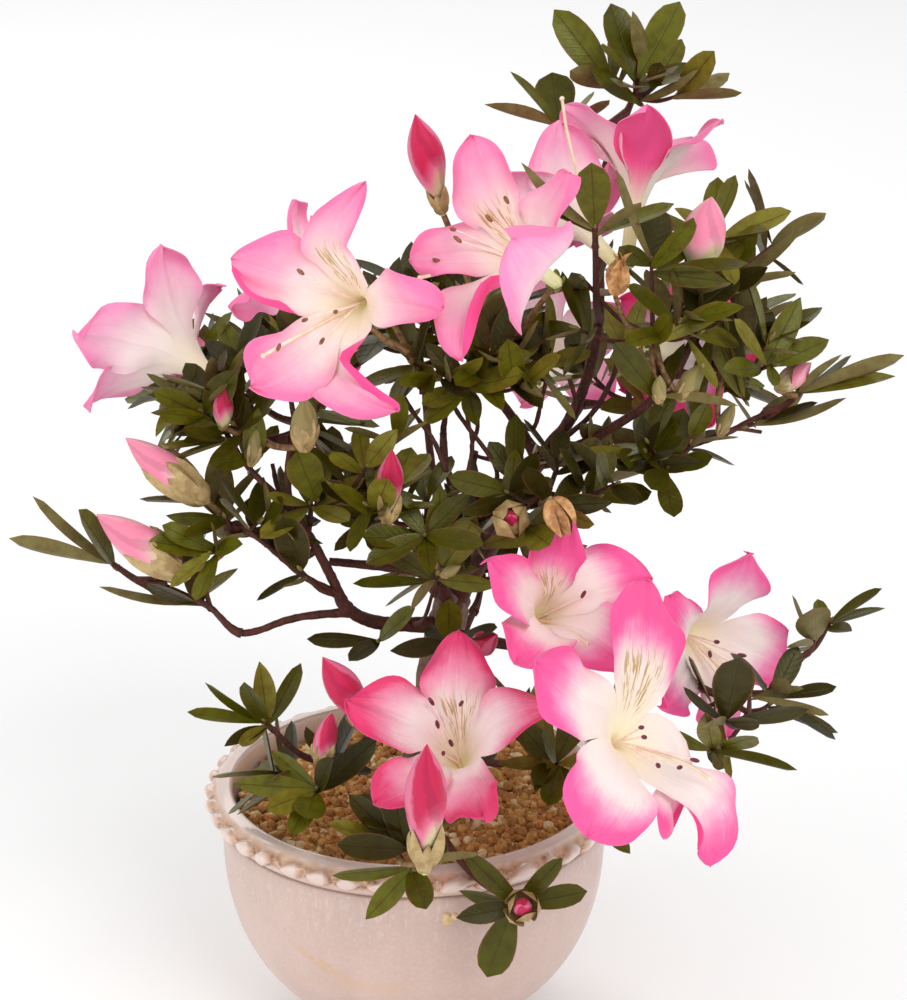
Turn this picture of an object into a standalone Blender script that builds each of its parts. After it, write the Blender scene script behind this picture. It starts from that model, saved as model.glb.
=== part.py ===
"""Azalea bonsai in flower, in its round glazed pot.

The origin is the centre of the pot's flat underside. +Z is up, +Y points to the
back of the plant, and +X to its right. The tables are in millimetres.
"""

import math
import random

import bmesh
import bpy
from mathutils import Matrix, Vector
from mathutils.bvhtree import BVHTree

MM = 0.001
UP = Vector((0.0, 0.0, 1.0))
GOLDEN_ANGLE = math.pi * (3.0 - math.sqrt(5.0))

# Pot and soil
POT_HEIGHT = 94.0
BELLY_RADIUS = 70.2
BELLY_DEPTH = 18.0
BOWL_DEPTH = 94.0
BOWL_FALL = 2.34
BOWL_ROUND = 2.2
FOOT_RADIUS = 38.5
FOOT_HEIGHT = 9.0
FOOT_ROUND = 2.0
WALL = 5.5
FLOOR_HEIGHT = 16.0
FLOOR_RADIUS = 24.0
POT_SEGMENTS = 40
BOWL_ROWS = 5
# The rim from the groove under the band up to the lip: radius, depth below the lip
RIM_OUTLINE = ((71.0, 10.5), (73.1, 8.3), (75.1, 5.5), (75.3, 3.2), (72.9, 1.4), (69.5, 0.0),
               (66.5, 0.6), (65.3, 8.0))
SOIL_DROP = 9.0
SOIL_DOME = 2.0
SOIL_RADIUS = 64.3
SOIL_SHOULDER = 44.0
SOIL_SHOULDER_RISE = 1.4
SOIL_WALL_GAP = 1.3
TRUNK_SEAT_RADIUS = 22.0
CLEARANCE = 0.3
SMOOTH_ANGLE = 40.0

# Trunk
TRUNK_POINTS = ((7, 13, 0), (8, 13, 20), (10, 11, 48), (12, 8, 64), (14, 5, 76))
TRUNK_BASE_RADIUS = 11.5
TRUNK_TOP_RADIUS = 6.2
FLARE = 5.5
FLARE_HEIGHT = 6.5
TRUNK_TAPER = 0.7
ROOT_RIDGES = 5
RIDGE_LOW = 0.6
RIDGE_RISE = 0.8
TRUNK_SIDES = 15
TRUNK_CROWN = 2.5

# Limbs: what each grows from, how far along it, the points it runs through, its two radii
LIMBS = {
    "bough_left": ("trunk", 0.85, ((-12, -8, 160), (-23, -20, 171)), 3.8, 2.9),
    "bough_left_rising": ("bough_left", 1.0, ((-27, -24, 182), (-34, -28, 199), (-42, -32, 217),
                                              (-41, -30, 238)), 2.5, 1.5),
    "bough_left_arm": ("bough_left_rising", 0.64, ((-56, -28, 227), (-65, -22, 240)), 1.6, 1.2),
    "bough_left_middle": ("bough_left_rising", 0.1, ((-37, -30, 187), (-50, -32, 200),
                                                     (-60, -30, 207)), 1.8, 1.3),
    "bough_left_low": ("bough_left", 0.93, ((-41, -22, 168), (-60, -24, 163)), 1.9, 1.6),
    "bough_left_reach": ("bough_left_low", 1.0, ((-71, -24, 173), (-86, -22, 180)), 1.6, 1.2),
    "bough_right": ("trunk", 0.98, ((28, 6, 185), (46, 4, 219)), 5.2, 3.8),
    "bough_middle": ("trunk", 1.0, ((16, -4, 199), (11, -12, 225), (12, -18, 246)), 2.2, 1.3),
    "bough_inner": ("bough_right", 0.97, ((32, -10, 243), (24, -18, 252)), 2.8, 1.8),
    "bough_top": ("bough_right", 1.0, ((55, 4, 232), (62, 6, 250), (66, 16, 270), (66, 34, 290),
                                       (68, 42, 312), (71, 36, 330)), 2.8, 1.5),
    "bough_far_right": ("bough_right", 1.0, ((59, -4, 226), (80, -12, 243), (91, -13, 256)),
                        2.7, 1.7),
    "bough_right_low": ("bough_right", 0.94, ((83, 0, 221), (107, 2, 227), (124, 4, 235)),
                        2.0, 1.3),
    "bough_skirt_right": ("trunk", 0.8, ((45, -28, 158), (72, -48, 160), (92, -58, 161)),
                          2.9, 1.7),
    "bough_front": ("trunk", 0.48, ((16, -12, 120), (10, -40, 112), (5, -58, 109)), 2.4, 1.5),
    "bough_front_left": ("trunk", 0.43, ((-12, -10, 118), (-28, -28, 114)), 2.0, 1.4),
    "bough_back_left": ("trunk", 0.95, ((-6, 28, 176), (-28, 46, 196), (-40, 56, 212)), 3.0, 1.6),
    "bough_back": ("trunk", 1.0, ((10, 26, 184), (6, 42, 206), (4, 50, 226)), 2.4, 1.5),
    "bough_back_right": ("bough_right", 0.7, ((50, 28, 212), (62, 50, 222)), 2.4, 1.6),
    "bough_back_low": ("trunk", 0.46, ((16, 34, 130), (22, 48, 140)), 2.2, 1.5),
}
LIMB_SIDES = 8
LIMB_STEPS = 2
SEAT_STEP = 0.4
SEAT_LIMIT = 0.9
SHORTEST_STEP = 1.5

# Blooms: limb, how far along it, throat, compass turn, tilt up, roll, petal length, opening
BLOOMS = {
    "bloom_far_left": (("bough_left_arm", 1.0, (-71, -5, 253), -131, 19, 2, 50, 46),),
    "bloom_upper_left": (("bough_middle", 0.95, (-16, -55, 295), -19, 9, -7, 47, 54),
                         ("bough_middle", 0.95, (-38, -16, 290), -125, 30, 20, 38, 46)),
    "bloom_upper_middle": (("bough_inner", 0.9, (42, -45, 304), -32, 34, 38, 45, 49),),
    "bloom_top": (("bough_top", 0.5, (68, -16, 306), -142, 28, 22, 43, 36),
                  ("bough_top", 0.5, (80, 5, 309), 160, 65, 1, 41, 32)),
    "bloom_behind_right": (("bough_far_right", 0.8, (88, 32, 250), 150, -14, 10, 42, 50),),
    "bloom_lower_middle": (("bough_skirt_right", 0.45, (43, -46, 178), 21, 34, -11, 48, 38),),
    "bloom_low_right": (("bough_skirt_right", 0.8, (68, -108, 161), 49, 35, -33, 51, 72),),
    "bloom_skirt_right": (("bough_skirt_right", 1.0, (94, -42, 171), 41, 4, -27, 40, 58),),
    "bloom_front": (("bough_front", 0.8, (17, -62, 130), -11, 50, -3, 51, 46),),
    "bloom_back_left": (("bough_back_left", 1.0, (-34, 86, 226), -165, 24, 15, 42, 52),),
    "bloom_back_right": (("bough_back_right", 1.0, (48, 90, 222), 168, 12, -10, 42, 54),),
}
PETALS = 5
PETAL_SAMPLES = 4
PETAL_OUTLINE = (1.0, 0.84, 0.5, 0.84)
PETAL_ROWS = (0.3, 0.66)
# Petals are joined up to this share of their length, in a funnel of this share of their reach
PETALS_JOINED = 0.5
FUNNEL_SHARE = 0.85
PETAL_THICKNESS = 1.0
PETAL_EDGE = 0.985
PETAL_BOW = 0.13
THROAT_RADIUS = 0.5
THROAT_DEPTH = 2.0
TUBE_RADIUS = 4.4
TUBE_LENGTH = 16.0
STALK_SINK = 3.0
STALK_BASE_RADIUS = 1.4
STALK_RADIUS = 1.1

# Foliage masses: limb, how far along it, centre, reach and number of twigs
MASSES = {
    "foliage_top": ("bough_top", 1.0, (78, 30, 350), (46, 26, 26), 4),
    "foliage_top_right": ("bough_far_right", 1.0, (106, -2, 300), (34, 26, 24), 3),
    "foliage_upper_middle": ("bough_top", 0.42, (62, -46, 318), (26, 22, 24), 3),
    "foliage_right_inner": ("bough_far_right", 0.9, (82, -24, 281), (40, 28, 22), 5),
    "foliage_right": ("bough_far_right", 1.0, (112, 0, 262), (32, 30, 24), 4),
    "foliage_right_shoot": ("bough_right_low", 1.0, (148, 4, 246), (30, 22, 18), 2),
    "foliage_right_low": ("bough_right_low", 0.62, (84, -8, 222), (30, 26, 17), 4),
    "foliage_inner": ("bough_inner", 1.0, (20, -18, 264), (44, 30, 22), 5),
    "foliage_middle": ("bough_middle", 0.55, (4, -34, 212), (40, 24, 20), 5),
    "foliage_middle_right": ("bough_right", 0.7, (48, -26, 222), (24, 22, 18), 3),
    "foliage_left_inner": ("bough_left_rising", 0.7, (-26, -24, 216), (26, 24, 20), 3),
    "foliage_left_top": ("bough_left_rising", 1.0, (-56, -22, 243), (42, 30, 22), 5),
    "foliage_left": ("bough_left_middle", 1.0, (-62, -28, 203), (36, 26, 22), 4),
    "foliage_left_shoot": ("bough_left_reach", 1.0, (-110, -20, 190), (32, 20, 18), 2),
    "foliage_low_left": ("bough_front_left", 1.0, (-58, -46, 144), (26, 18, 18), 1),
    "foliage_rosette": ("bough_front_left", 0.9, (-36, -42, 114), (34, 24, 18), 3),
    "foliage_front": ("bough_front", 1.0, (-8, -76, 113), (26, 20, 26), 2),
    "foliage_hanging": ("bough_front", 1.0, (37, -92, 92), (26, 15, 32), 0),
    "foliage_front_right": ("bough_front", 0.5, (48, -50, 134), (26, 22, 20), 3),
    "foliage_skirt_shoot": ("bough_skirt_right", 1.0, (143, -48, 179), (24, 20, 18), 1),
    "foliage_skirt_right": ("bough_skirt_right", 1.0, (118, -72, 157), (28, 24, 24), 2),
    "foliage_back_left": ("bough_back_left", 1.0, (-62, 62, 228), (44, 34, 30), 4),
    "foliage_back": ("bough_back", 1.0, (2, 56, 250), (40, 32, 28), 4),
    "foliage_back_right": ("bough_back_right", 1.0, (96, 66, 232), (42, 34, 28), 4),
    "foliage_back_low": ("bough_back_low", 1.0, (26, 66, 152), (40, 26, 22), 3),
}

# The furthest leaf tips, which make the crown's outline, in groups of one twig each
FURTHEST_TIPS = {
    "foliage_top": (((49, 28, 368), (34, 22, 344)), ((92, 28, 362), (114, 30, 344))),
    "foliage_top_right": (((136, 4, 301), (118, 2, 312)),),
    "foliage_right_shoot": (((172, 6, 257), (168, 2, 248), (153, 0, 236)),),
    "foliage_left_shoot": (((-141, -20, 199), (-134, -18, 207), (-112, -24, 176)),),
    "foliage_left_top": (((-90, -20, 259),),),
    "foliage_low_left": (((-77, -46, 144), (-66, -50, 134), (-40, -46, 158)),),
    "foliage_hanging": (((19, -88, 108), (16, -90, 92), (52, -88, 107), (60, -88, 95),
                         (26, -92, 64)),),
    "foliage_skirt_shoot": (((161, -50, 190), (160, -50, 182), (128, -44, 186)),),
    "foliage_skirt_right": (((142, -72, 156), (132, -70, 138)),),
    "foliage_front": (((-27, -84, 97), (0, -90, 90)),),
}

STEM_RADIUS = 1.5
HUB_DROP = 0.2
STEM_SHARES = (0.5, 0.7, 0.86)
TWIG_BOW = 0.08
TWIG_RADIUS = 0.9
TWIG_END_RADIUS = 0.6
TWIG_SIDES = 3
TWIG_SPREAD = 0.56
TWIG_HIGHEST = 0.85
TWIG_HEIGHTS = 1.45
SPACE_MARGIN = 0.02
TWIG_SHORT_OF_TIPS = 0.55
LEAF_LENGTH = 32.0
LEAF_WIDTH = 0.48
LEAF_THICKNESS = 0.5
LEAF_ARCH = 0.07
LEAF_WIDEST = 0.56
LEAF_SINK = 1.6
LEAF_SPREAD = (48.0, 78.0)
LEAF_SWERVE = 0.3
LEAF_LIFT = 0.12
FACING_LIFT = 0.6
LEAVES_A_TWIG = 4
WHORL_STAGGER = 0.13
LEAF_TRIES = (1.0, 0.78, 0.6)
BEND_TRIES = (0.0, 0.14, 0.28, 0.42)
BEND_TURNS = 8

# Buds: mass each is fused to, tip, base and width
BUDS = (
    ("foliage_inner", (2, -30, 352), (11, -24, 316), 12),
    ("foliage_top_right", (103, -10, 318), (100, -6, 291), 12),
    ("foliage_left", (-97, -34, 240), (-70, -30, 215), 11),
    ("foliage_left", (-108, -34, 212), (-77, -30, 187), 12),
    ("foliage_low_left", (-31, -52, 166), (-38, -48, 140), 11),
    ("foliage_rosette", (-27, -58, 148), (-32, -50, 124), 8),
    ("foliage_front", (5, -94, 152), (3, -84, 116), 14),
    ("foliage_middle_right", (34, -46, 222), (34, -38, 208), 12),
)
BUD_SIDES = 6
BUD_SINK = 0.12
# A bud's outline: how far up it, and its radius there as a share of its width
BUD_OUTLINE = ((0.0, 0.16), (0.18, 0.34), (0.42, 0.5), (0.68, 0.4))

COLOURS = {
    "pot": (0.78, 0.69, 0.66),
    "soil": (0.42, 0.29, 0.17),
    "bark": (0.20, 0.12, 0.09),
    "leaf": (0.13, 0.20, 0.07),
    "petal": (0.86, 0.30, 0.50),
}


def clear_scene():
    for old in list(bpy.data.objects):
        bpy.data.objects.remove(old, do_unlink=True)


def material(name, colour, roughness):
    made = bpy.data.materials.new(name)
    made.use_nodes = True
    shader = made.node_tree.nodes["Principled BSDF"]
    shader.inputs["Base Color"].default_value = (*colour, 1.0)
    shader.inputs["Roughness"].default_value = roughness
    shader.inputs["Metallic"].default_value = 0.0
    return made


def finish_object(name, bm, finish):
    """Make one scene object of a bmesh in millimetres."""
    bmesh.ops.scale(bm, vec=(MM, MM, MM), verts=bm.verts)
    bmesh.ops.recalc_face_normals(bm, faces=bm.faces)
    mesh = bpy.data.meshes.new(name)
    bm.to_mesh(mesh)
    bm.free()
    mesh.shade_smooth()
    mesh.set_sharp_from_angle(angle=math.radians(SMOOTH_ANGLE))
    mesh.materials.append(finish)
    made = bpy.data.objects.new(name, mesh)
    bpy.context.scene.collection.objects.link(made)
    return made


def loft(bm, rings):
    """Skin one closed body over rings of points; a ring of one point is a pole."""
    loops = [[bm.verts.new(point) for point in ring] for ring in rings]
    for lower, upper in zip(loops, loops[1:]):
        count = max(len(lower), len(upper))
        for i in range(count):
            j = (i + 1) % count
            if len(lower) == 1:
                bm.faces.new((lower[0], upper[j], upper[i]))
            elif len(upper) == 1:
                bm.faces.new((lower[i], lower[j], upper[0]))
            else:
                bm.faces.new((lower[i], lower[j], upper[j], upper[i]))
    if len(loops[0]) > 1:
        bm.faces.new(list(reversed(loops[0])))
    if len(loops[-1]) > 1:
        bm.faces.new(loops[-1])


def turned(profile, segments):
    """Spin a closed outline of (radius, height) once round the Z axis."""
    bm = bmesh.new()
    outline = [bm.verts.new((radius, 0.0, height)) for radius, height in profile]
    edges = [bm.edges.new(pair) for pair in zip(outline, outline[1:])]
    bmesh.ops.spin(bm, geom=outline + edges, axis=UP, cent=(0, 0, 0), angle=2.0 * math.pi,
                   steps=segments)
    bmesh.ops.remove_doubles(bm, verts=bm.verts, dist=0.01)
    return bm


def smooth_path(points, steps):
    """Points on a smooth curve through the given ones."""
    knots = [Vector(point) for point in points]
    knots = [2 * knots[0] - knots[1]] + knots + [2 * knots[-1] - knots[-2]]
    path = []
    for a, b, c, d in zip(knots, knots[1:], knots[2:], knots[3:]):
        for step in range(steps):
            t = step / steps
            path.append(0.5 * (2 * b + (c - a) * t + (2 * a - 5 * b + 4 * c - d) * t * t
                               + (3 * b - a - 3 * c + d) * t * t * t))
    return path + [knots[-2]]


def point_along(path, share):
    """The point at a share of a path's length, and the direction there."""
    lengths = [(b - a).length for a, b in zip(path, path[1:])]
    left = share * sum(lengths)
    for (a, b), length in zip(zip(path, path[1:]), lengths):
        if left <= length:
            return a.lerp(b, left / length), (b - a).normalized()
        left -= length
    return path[-1].copy(), (path[-1] - path[-2]).normalized()


def tube_rings(path, radii, sides):
    """Rings square to a path, turned as little as it allows."""
    rings = []
    side = None
    for i, point in enumerate(path):
        along = (path[min(i + 1, len(path) - 1)] - path[max(i - 1, 0)]).normalized()
        if side is None:
            side = along.orthogonal().normalized()
        side = (side - along * side.dot(along)).normalized()
        across = along.cross(side)
        turns = [2.0 * math.pi * k / sides for k in range(sides)]
        rings.append([point + radii[i] * (math.cos(a) * side + math.sin(a) * across)
                      for a in turns])
    return rings


def taper(start, end, count):
    return [start + (end - start) * i / (count - 1) for i in range(count)]


class Standing:
    """What already stands, for keeping new pieces clear of it."""

    def __init__(self):
        self.trees = {}

    def add(self, name, bm):
        self.trees[name] = BVHTree.FromBMesh(bm)

    def hit(self, bm, own=()):
        """Name of the first body that a piece comes within the clearance of."""
        grown = bm.copy()
        grown.normal_update()
        for vert in grown.verts:
            vert.co += vert.normal * CLEARANCE
        tree = BVHTree.FromBMesh(grown)
        grown.free()
        for name, other in self.trees.items():
            if name not in own and tree.overlap(other):
                return name
        return None


def body_of(rings):
    bm = bmesh.new()
    loft(bm, rings)
    bmesh.ops.recalc_face_normals(bm, faces=bm.faces)
    return bm


def seated(path, radii, sides, standing):
    """Draw back the start of a limb, bit by bit, until it just clears what it grows from."""
    total = sum((b - a).length for a, b in zip(path, path[1:]))
    drawn = 0.0
    while drawn < SEAT_LIMIT * total:
        start, _ = point_along(path, drawn / total)
        points = [start]
        sizes = [radii[0] + (radii[-1] - radii[0]) * drawn / total]
        walked = 0.0
        for (a, b), radius in zip(zip(path, path[1:]), radii[1:]):
            walked += (b - a).length
            if walked > drawn + SHORTEST_STEP:
                points.append(b)
                sizes.append(radius)
        bm = body_of(tube_rings(points, sizes, sides))
        if standing.hit(bm) is None:
            return bm, points
        bm.free()
        drawn += SEAT_STEP
    return None, None


def bowl_depths():
    """Depths of the bowl's rows, from the foot up to its widest place."""
    foot = BOWL_DEPTH - FOOT_HEIGHT
    return [foot - (foot - BELLY_DEPTH) * row / BOWL_ROWS for row in range(BOWL_ROWS + 1)]


def bowl_radius(depth):
    """Outer radius of the bowl at a depth below the lip."""
    share = max(0.0, depth - BELLY_DEPTH) / (BOWL_DEPTH - BELLY_DEPTH)
    return BELLY_RADIUS * (1.0 - share ** BOWL_FALL) ** (1.0 / BOWL_ROUND)


def make_pot():
    """A round bowl on a flat foot, with a rolled band under its lip."""
    outline = [(0.0, 0.0), (FOOT_RADIUS, 0.0), (FOOT_RADIUS, FOOT_HEIGHT - FOOT_ROUND)]
    outline += [(bowl_radius(depth), POT_HEIGHT - depth) for depth in bowl_depths()]
    outline += [(radius, POT_HEIGHT - depth) for radius, depth in RIM_OUTLINE]
    outline += [(bowl_radius(depth) - WALL, POT_HEIGHT - depth)
                for depth in reversed(bowl_depths()[1:])]
    outline += [(FLOOR_RADIUS, FLOOR_HEIGHT), (0.0, FLOOR_HEIGHT)]
    return turned(outline, POT_SEGMENTS)


def soil_height():
    return POT_HEIGHT - SOIL_DROP + SOIL_DOME


def make_soil():
    """The soil stands clear of the wall, with a flat seat under the trunk."""
    edge = POT_HEIGHT - SOIL_DROP
    floor = FLOOR_HEIGHT + CLEARANCE
    outline = [(0.0, floor), (FLOOR_RADIUS - SOIL_WALL_GAP, floor)]
    outline += [(bowl_radius(depth) - WALL - SOIL_WALL_GAP, POT_HEIGHT - depth + CLEARANCE)
                for depth in bowl_depths()[1::2]]
    outline += [(SOIL_RADIUS, edge), (SOIL_SHOULDER, edge + SOIL_SHOULDER_RISE),
                (TRUNK_SEAT_RADIUS, soil_height()), (0.0, soil_height())]
    return turned(outline, POT_SEGMENTS)


def make_trunk():
    foot = soil_height() + CLEARANCE
    points = [(x, y, foot + z) for x, y, z in TRUNK_POINTS]
    path = smooth_path(points, LIMB_STEPS)
    rings = []
    for point in path:
        height = point.z - foot
        share = height / (path[-1].z - foot)
        flare = FLARE * math.exp(-height / FLARE_HEIGHT)
        radius = TRUNK_BASE_RADIUS + (TRUNK_TOP_RADIUS - TRUNK_BASE_RADIUS) * share ** TRUNK_TAPER
        ring = []
        for k in range(TRUNK_SIDES):
            turn = 2.0 * math.pi * k / TRUNK_SIDES
            rise = RIDGE_RISE * max(0.0, math.cos(ROOT_RIDGES * turn))
            ridge = radius + flare * (RIDGE_LOW + rise)
            ring.append(point + Vector((math.cos(turn), math.sin(turn), 0.0)) * ridge)
        rings.append(ring)
    rings.append([path[-1] + UP * TRUNK_CROWN])
    return body_of(rings), path


def bloom_frame(turn, tilt, roll):
    """Axes of a bloom: where it faces, and two directions across its face."""
    turn, tilt, roll = (math.radians(angle) for angle in (turn, tilt, roll))
    face = Vector((math.cos(tilt) * math.sin(turn), -math.cos(tilt) * math.cos(turn),
                   math.sin(tilt)))
    top = (UP - face * face.dot(UP)).normalized()
    side = face.cross(top)
    return face, top * math.cos(roll) + side * math.sin(roll), \
        side * math.cos(roll) - top * math.sin(roll)


def bloom_rings(throat, turn, tilt, roll, length, opening):
    """A star-shaped funnel of five petals, from its throat out and back along its tube."""
    face, top, side = bloom_frame(turn, tilt, roll)
    throat = Vector(throat)
    opening = math.radians(opening)
    samples = PETALS * PETAL_SAMPLES

    def outwards(k):
        around = 2.0 * math.pi * k / samples
        return math.cos(around) * top + math.sin(around) * side

    def ring(share, back):
        points = []
        bow = PETAL_BOW * length * math.sin(math.pi * share)
        for k in range(samples):
            width = PETAL_OUTLINE[k % PETAL_SAMPLES] if share > PETALS_JOINED else FUNNEL_SHARE
            reach = share * length * width
            radial = reach * math.sin(opening) - (bow - back) * math.cos(opening)
            axial = reach * math.cos(opening) + (bow - back) * math.sin(opening)
            points.append(throat + outwards(k) * max(radial, THROAT_RADIUS) + face * axial)
        return points

    rings = [[throat - face * THROAT_DEPTH]]
    rings += [ring(share, 0.0) for share in PETAL_ROWS]
    rings += [ring(1.0, 0.0), ring(PETAL_EDGE, PETAL_THICKNESS)]
    rings.append(ring(PETAL_ROWS[-1], PETAL_THICKNESS))
    rings.append([throat + outwards(k) * TUBE_RADIUS - face * THROAT_DEPTH
                  for k in range(samples)])
    rings.append([throat - face * TUBE_LENGTH])
    return rings, throat - face * (TUBE_LENGTH - STALK_SINK)


def leaf_body(root, tip, facing):
    """A leaf of eight faces: root, tip, two edges and an arched upper and lower side."""
    length = (tip - root).length
    along = (tip - root).normalized()
    across = along.cross(facing).normalized()
    up = across.cross(along).normalized()
    middle = root.lerp(tip, LEAF_WIDEST) + up * length * LEAF_ARCH
    half = 0.5 * LEAF_WIDTH * length
    bm = bmesh.new()
    corners = (root, tip, middle - across * half, middle + across * half,
               middle + up * LEAF_THICKNESS, middle - up * LEAF_THICKNESS)
    start, end, left, right, top, bottom = [bm.verts.new(point) for point in corners]
    for a, b in ((start, left), (left, end), (end, right), (right, start)):
        bm.faces.new((a, b, top))
        bm.faces.new((b, a, bottom))
    bmesh.ops.recalc_face_normals(bm, faces=bm.faces)
    return bm


def bud_body(tip, base, width):
    """A pointed bud on a short narrow foot."""
    tip, base = Vector(tip), Vector(base)
    path = [base.lerp(tip, share) for share, _ in BUD_OUTLINE]
    rings = tube_rings(path, [width * size for _, size in BUD_OUTLINE], BUD_SIDES)
    return body_of(rings + [[tip]])


def depth_in(mass, point):
    """How deep a point lies in a mass's space: 0 at its centre, 1 at its reach."""
    _, _, centre, reach, _ = MASSES[mass]
    return math.sqrt(sum(((point[i] - centre[i]) / reach[i]) ** 2 for i in range(3)))


def in_own_space(mass, point):
    own = depth_in(mass, point)
    if own > 1.0:
        return False
    return all(own < depth_in(other, point) - SPACE_MARGIN for other in MASSES if other != mass)


def bowed(start, end, bend, turn, steps=1):
    """A path from start to end that bows aside by a share of its length."""
    along = (end - start).normalized()
    side = along.orthogonal().normalized()
    side = Matrix.Rotation(turn, 3, along) @ side
    middle = start.lerp(end, 0.5) + side * bend * (end - start).length
    return smooth_path((start, middle, end), steps)


def clear_route(start, end, radii, standing):
    """The straightest of a few bowed stems that touches nothing."""
    for bend in BEND_TRIES:
        for k in range(BEND_TURNS if bend else 1):
            path = bowed(start, end, bend, 2.0 * math.pi * k / BEND_TURNS, LIMB_STEPS)
            bm, points = seated(path, taper(*radii, len(path)), TWIG_SIDES, standing)
            if bm:
                return bm, points
    return None, None


def twig_tips(mass):
    """Where a mass's twigs end: its furthest tips first, then evenly through its space."""
    _, _, centre, reach, count = MASSES[mass]
    centre = Vector(centre)
    tips = []
    for group in FURTHEST_TIPS.get(mass, ()):
        group = [Vector(tip) for tip in group]
        outer = sum(group, Vector()) / len(group)
        tips.append((outer.lerp(centre, TWIG_SHORT_OF_TIPS), group))
    for k in range(count):
        height = TWIG_HIGHEST - TWIG_HEIGHTS * (k + 0.5) / count
        turn = k * GOLDEN_ANGLE + len(mass)
        flat = math.sqrt(1.0 - height * height)
        way = Vector((flat * math.cos(turn), flat * math.sin(turn), height))
        tips.append((centre + TWIG_SPREAD * Vector(way[i] * reach[i] for i in range(3)), ()))
    return tips


def leaf_ways(along, count, rng):
    """Directions of a whorl of leaves round the end of a twig."""
    side = along.orthogonal().normalized()
    ways = []
    for k in range(count):
        turn = 2.0 * math.pi * k / count + rng.uniform(-LEAF_SWERVE, LEAF_SWERVE)
        spread = math.radians(rng.uniform(*LEAF_SPREAD))
        out = Matrix.Rotation(turn, 3, along) @ side
        way = along * math.cos(spread) + out * math.sin(spread) + UP * LEAF_LIFT
        ways.append(way.normalized())
    return ways


def add_leaves(mass, pieces, path, tips, standing, rng):
    """A whorl of leaves that climbs the last part of a twig, shorter where room is short."""
    end, along = point_along(path, 1.0)
    for tip in tips:
        root = end - along * LEAF_SINK
        pieces.append(leaf_body(root, tip, UP))
    for k, way in enumerate(leaf_ways(along, max(1, LEAVES_A_TWIG - len(tips)), rng)):
        root = point_along(path, 1.0 - WHORL_STAGGER * k)[0] - along * LEAF_SINK
        for share in LEAF_TRIES:
            end = root + way * LEAF_LENGTH * share
            if not in_own_space(mass, end):
                continue
            facing = (along + UP * FACING_LIFT).normalized()
            leaf = leaf_body(root, end, facing)
            if standing.hit(leaf, (mass,)) is None:
                pieces.append(leaf)
                break
            leaf.free()


def grow_mass(mass, stem, stem_path, standing):
    """Twigs from one stem, each with a whorl of leaves, and the buds that open from it."""
    rng = random.Random(len(mass) * 7 + sum(MASSES[mass][2]))
    pieces = [stem]
    for end, tips in twig_tips(mass):
        starts = [point_along(stem_path, share)[0] for share in STEM_SHARES]
        start = min(starts, key=lambda point: (point - end).length)
        path = bowed(start, end, TWIG_BOW, rng.uniform(0.0, 2.0 * math.pi))
        radii = taper(TWIG_RADIUS, TWIG_END_RADIUS, len(path))
        twig = body_of(tube_rings(path, radii, TWIG_SIDES))
        if standing.hit(twig, (mass,)) is not None:
            twig.free()
            continue
        pieces.append(twig)
        add_leaves(mass, pieces, path, tips, standing, rng)
    for owner, tip, base, width in BUDS:
        if owner == mass:
            add_bud(pieces, stem_path, tip, base, width, standing, mass)
    return pieces


def add_bud(pieces, stem_path, tip, base, width, standing, mass):
    """A bud on a stalk from its mass's stem, unless it would touch something else."""
    bud = bud_body(tip, base, width)
    foot = Vector(base).lerp(Vector(tip), BUD_SINK)
    start, _ = point_along(stem_path, STEM_SHARES[-1])
    for bend in BEND_TRIES:
        path = bowed(start, foot, bend, 0.0)
        stalk = body_of(tube_rings(path, [STALK_RADIUS] * len(path), TWIG_SIDES))
        if standing.hit(stalk, (mass,)) is None and standing.hit(bud, (mass,)) is None:
            pieces.extend((stalk, bud))
            return
        stalk.free()


def fuse(name, pieces, finish):
    """Join the pieces of one mass into a single closed body."""
    base = finish_object(name, pieces[0].copy(), finish)
    group = bpy.data.collections.new(name + "_pieces")
    bpy.context.scene.collection.children.link(group)
    for k, piece in enumerate(pieces[1:]):
        part = finish_object(f"{name}_{k}", piece.copy(), finish)
        bpy.context.scene.collection.objects.unlink(part)
        group.objects.link(part)
    union = base.modifiers.new("Join", "BOOLEAN")
    union.operation = "UNION"
    union.operand_type = "COLLECTION"
    union.collection = group
    union.solver = "MANIFOLD"
    shaped = base.evaluated_get(bpy.context.evaluated_depsgraph_get())
    joined = bmesh.new()
    joined.from_mesh(shaped.to_mesh())
    base.modifiers.clear()
    for part in list(group.objects):
        bpy.data.objects.remove(part, do_unlink=True)
    bpy.data.collections.remove(group)
    keep_outer_shell(joined)
    joined.to_mesh(base.data)
    base.data.shade_smooth()
    base.data.set_sharp_from_angle(angle=math.radians(SMOOTH_ANGLE))
    bmesh.ops.scale(joined, vec=(1.0 / MM,) * 3, verts=joined.verts)
    return joined


def keep_outer_shell(bm):
    """Fill sealed hollows and drop loose scraps: only the largest shell stays."""
    left = set(bm.faces)
    shells = []
    while left:
        seed = left.pop()
        shell = [seed]
        stack = [seed]
        while stack:
            face = stack.pop()
            for edge in face.edges:
                for other in edge.link_faces:
                    if other in left:
                        left.remove(other)
                        shell.append(other)
                        stack.append(other)
        shells.append(shell)
    shells.sort(key=shell_volume)
    for shell in shells[:-1]:
        bmesh.ops.delete(bm, geom=shell, context="FACES")


def shell_volume(faces):
    total = 0.0
    for face in faces:
        points = [vert.co for vert in face.verts]
        for b, c in zip(points[1:], points[2:]):
            total += points[0].dot(b.cross(c))
    return total


def grow_limbs(standing, paths, finish):
    for name, (parent, share, points, start, end) in LIMBS.items():
        foot, _ = point_along(paths[parent], share)
        path = smooth_path((foot, *points), LIMB_STEPS)
        bm, _ = seated(path, taper(start, end, len(path)), LIMB_SIDES, standing)
        paths[name] = path
        standing.add(name, bm)
        finish_object(name, bm, finish)


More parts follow.
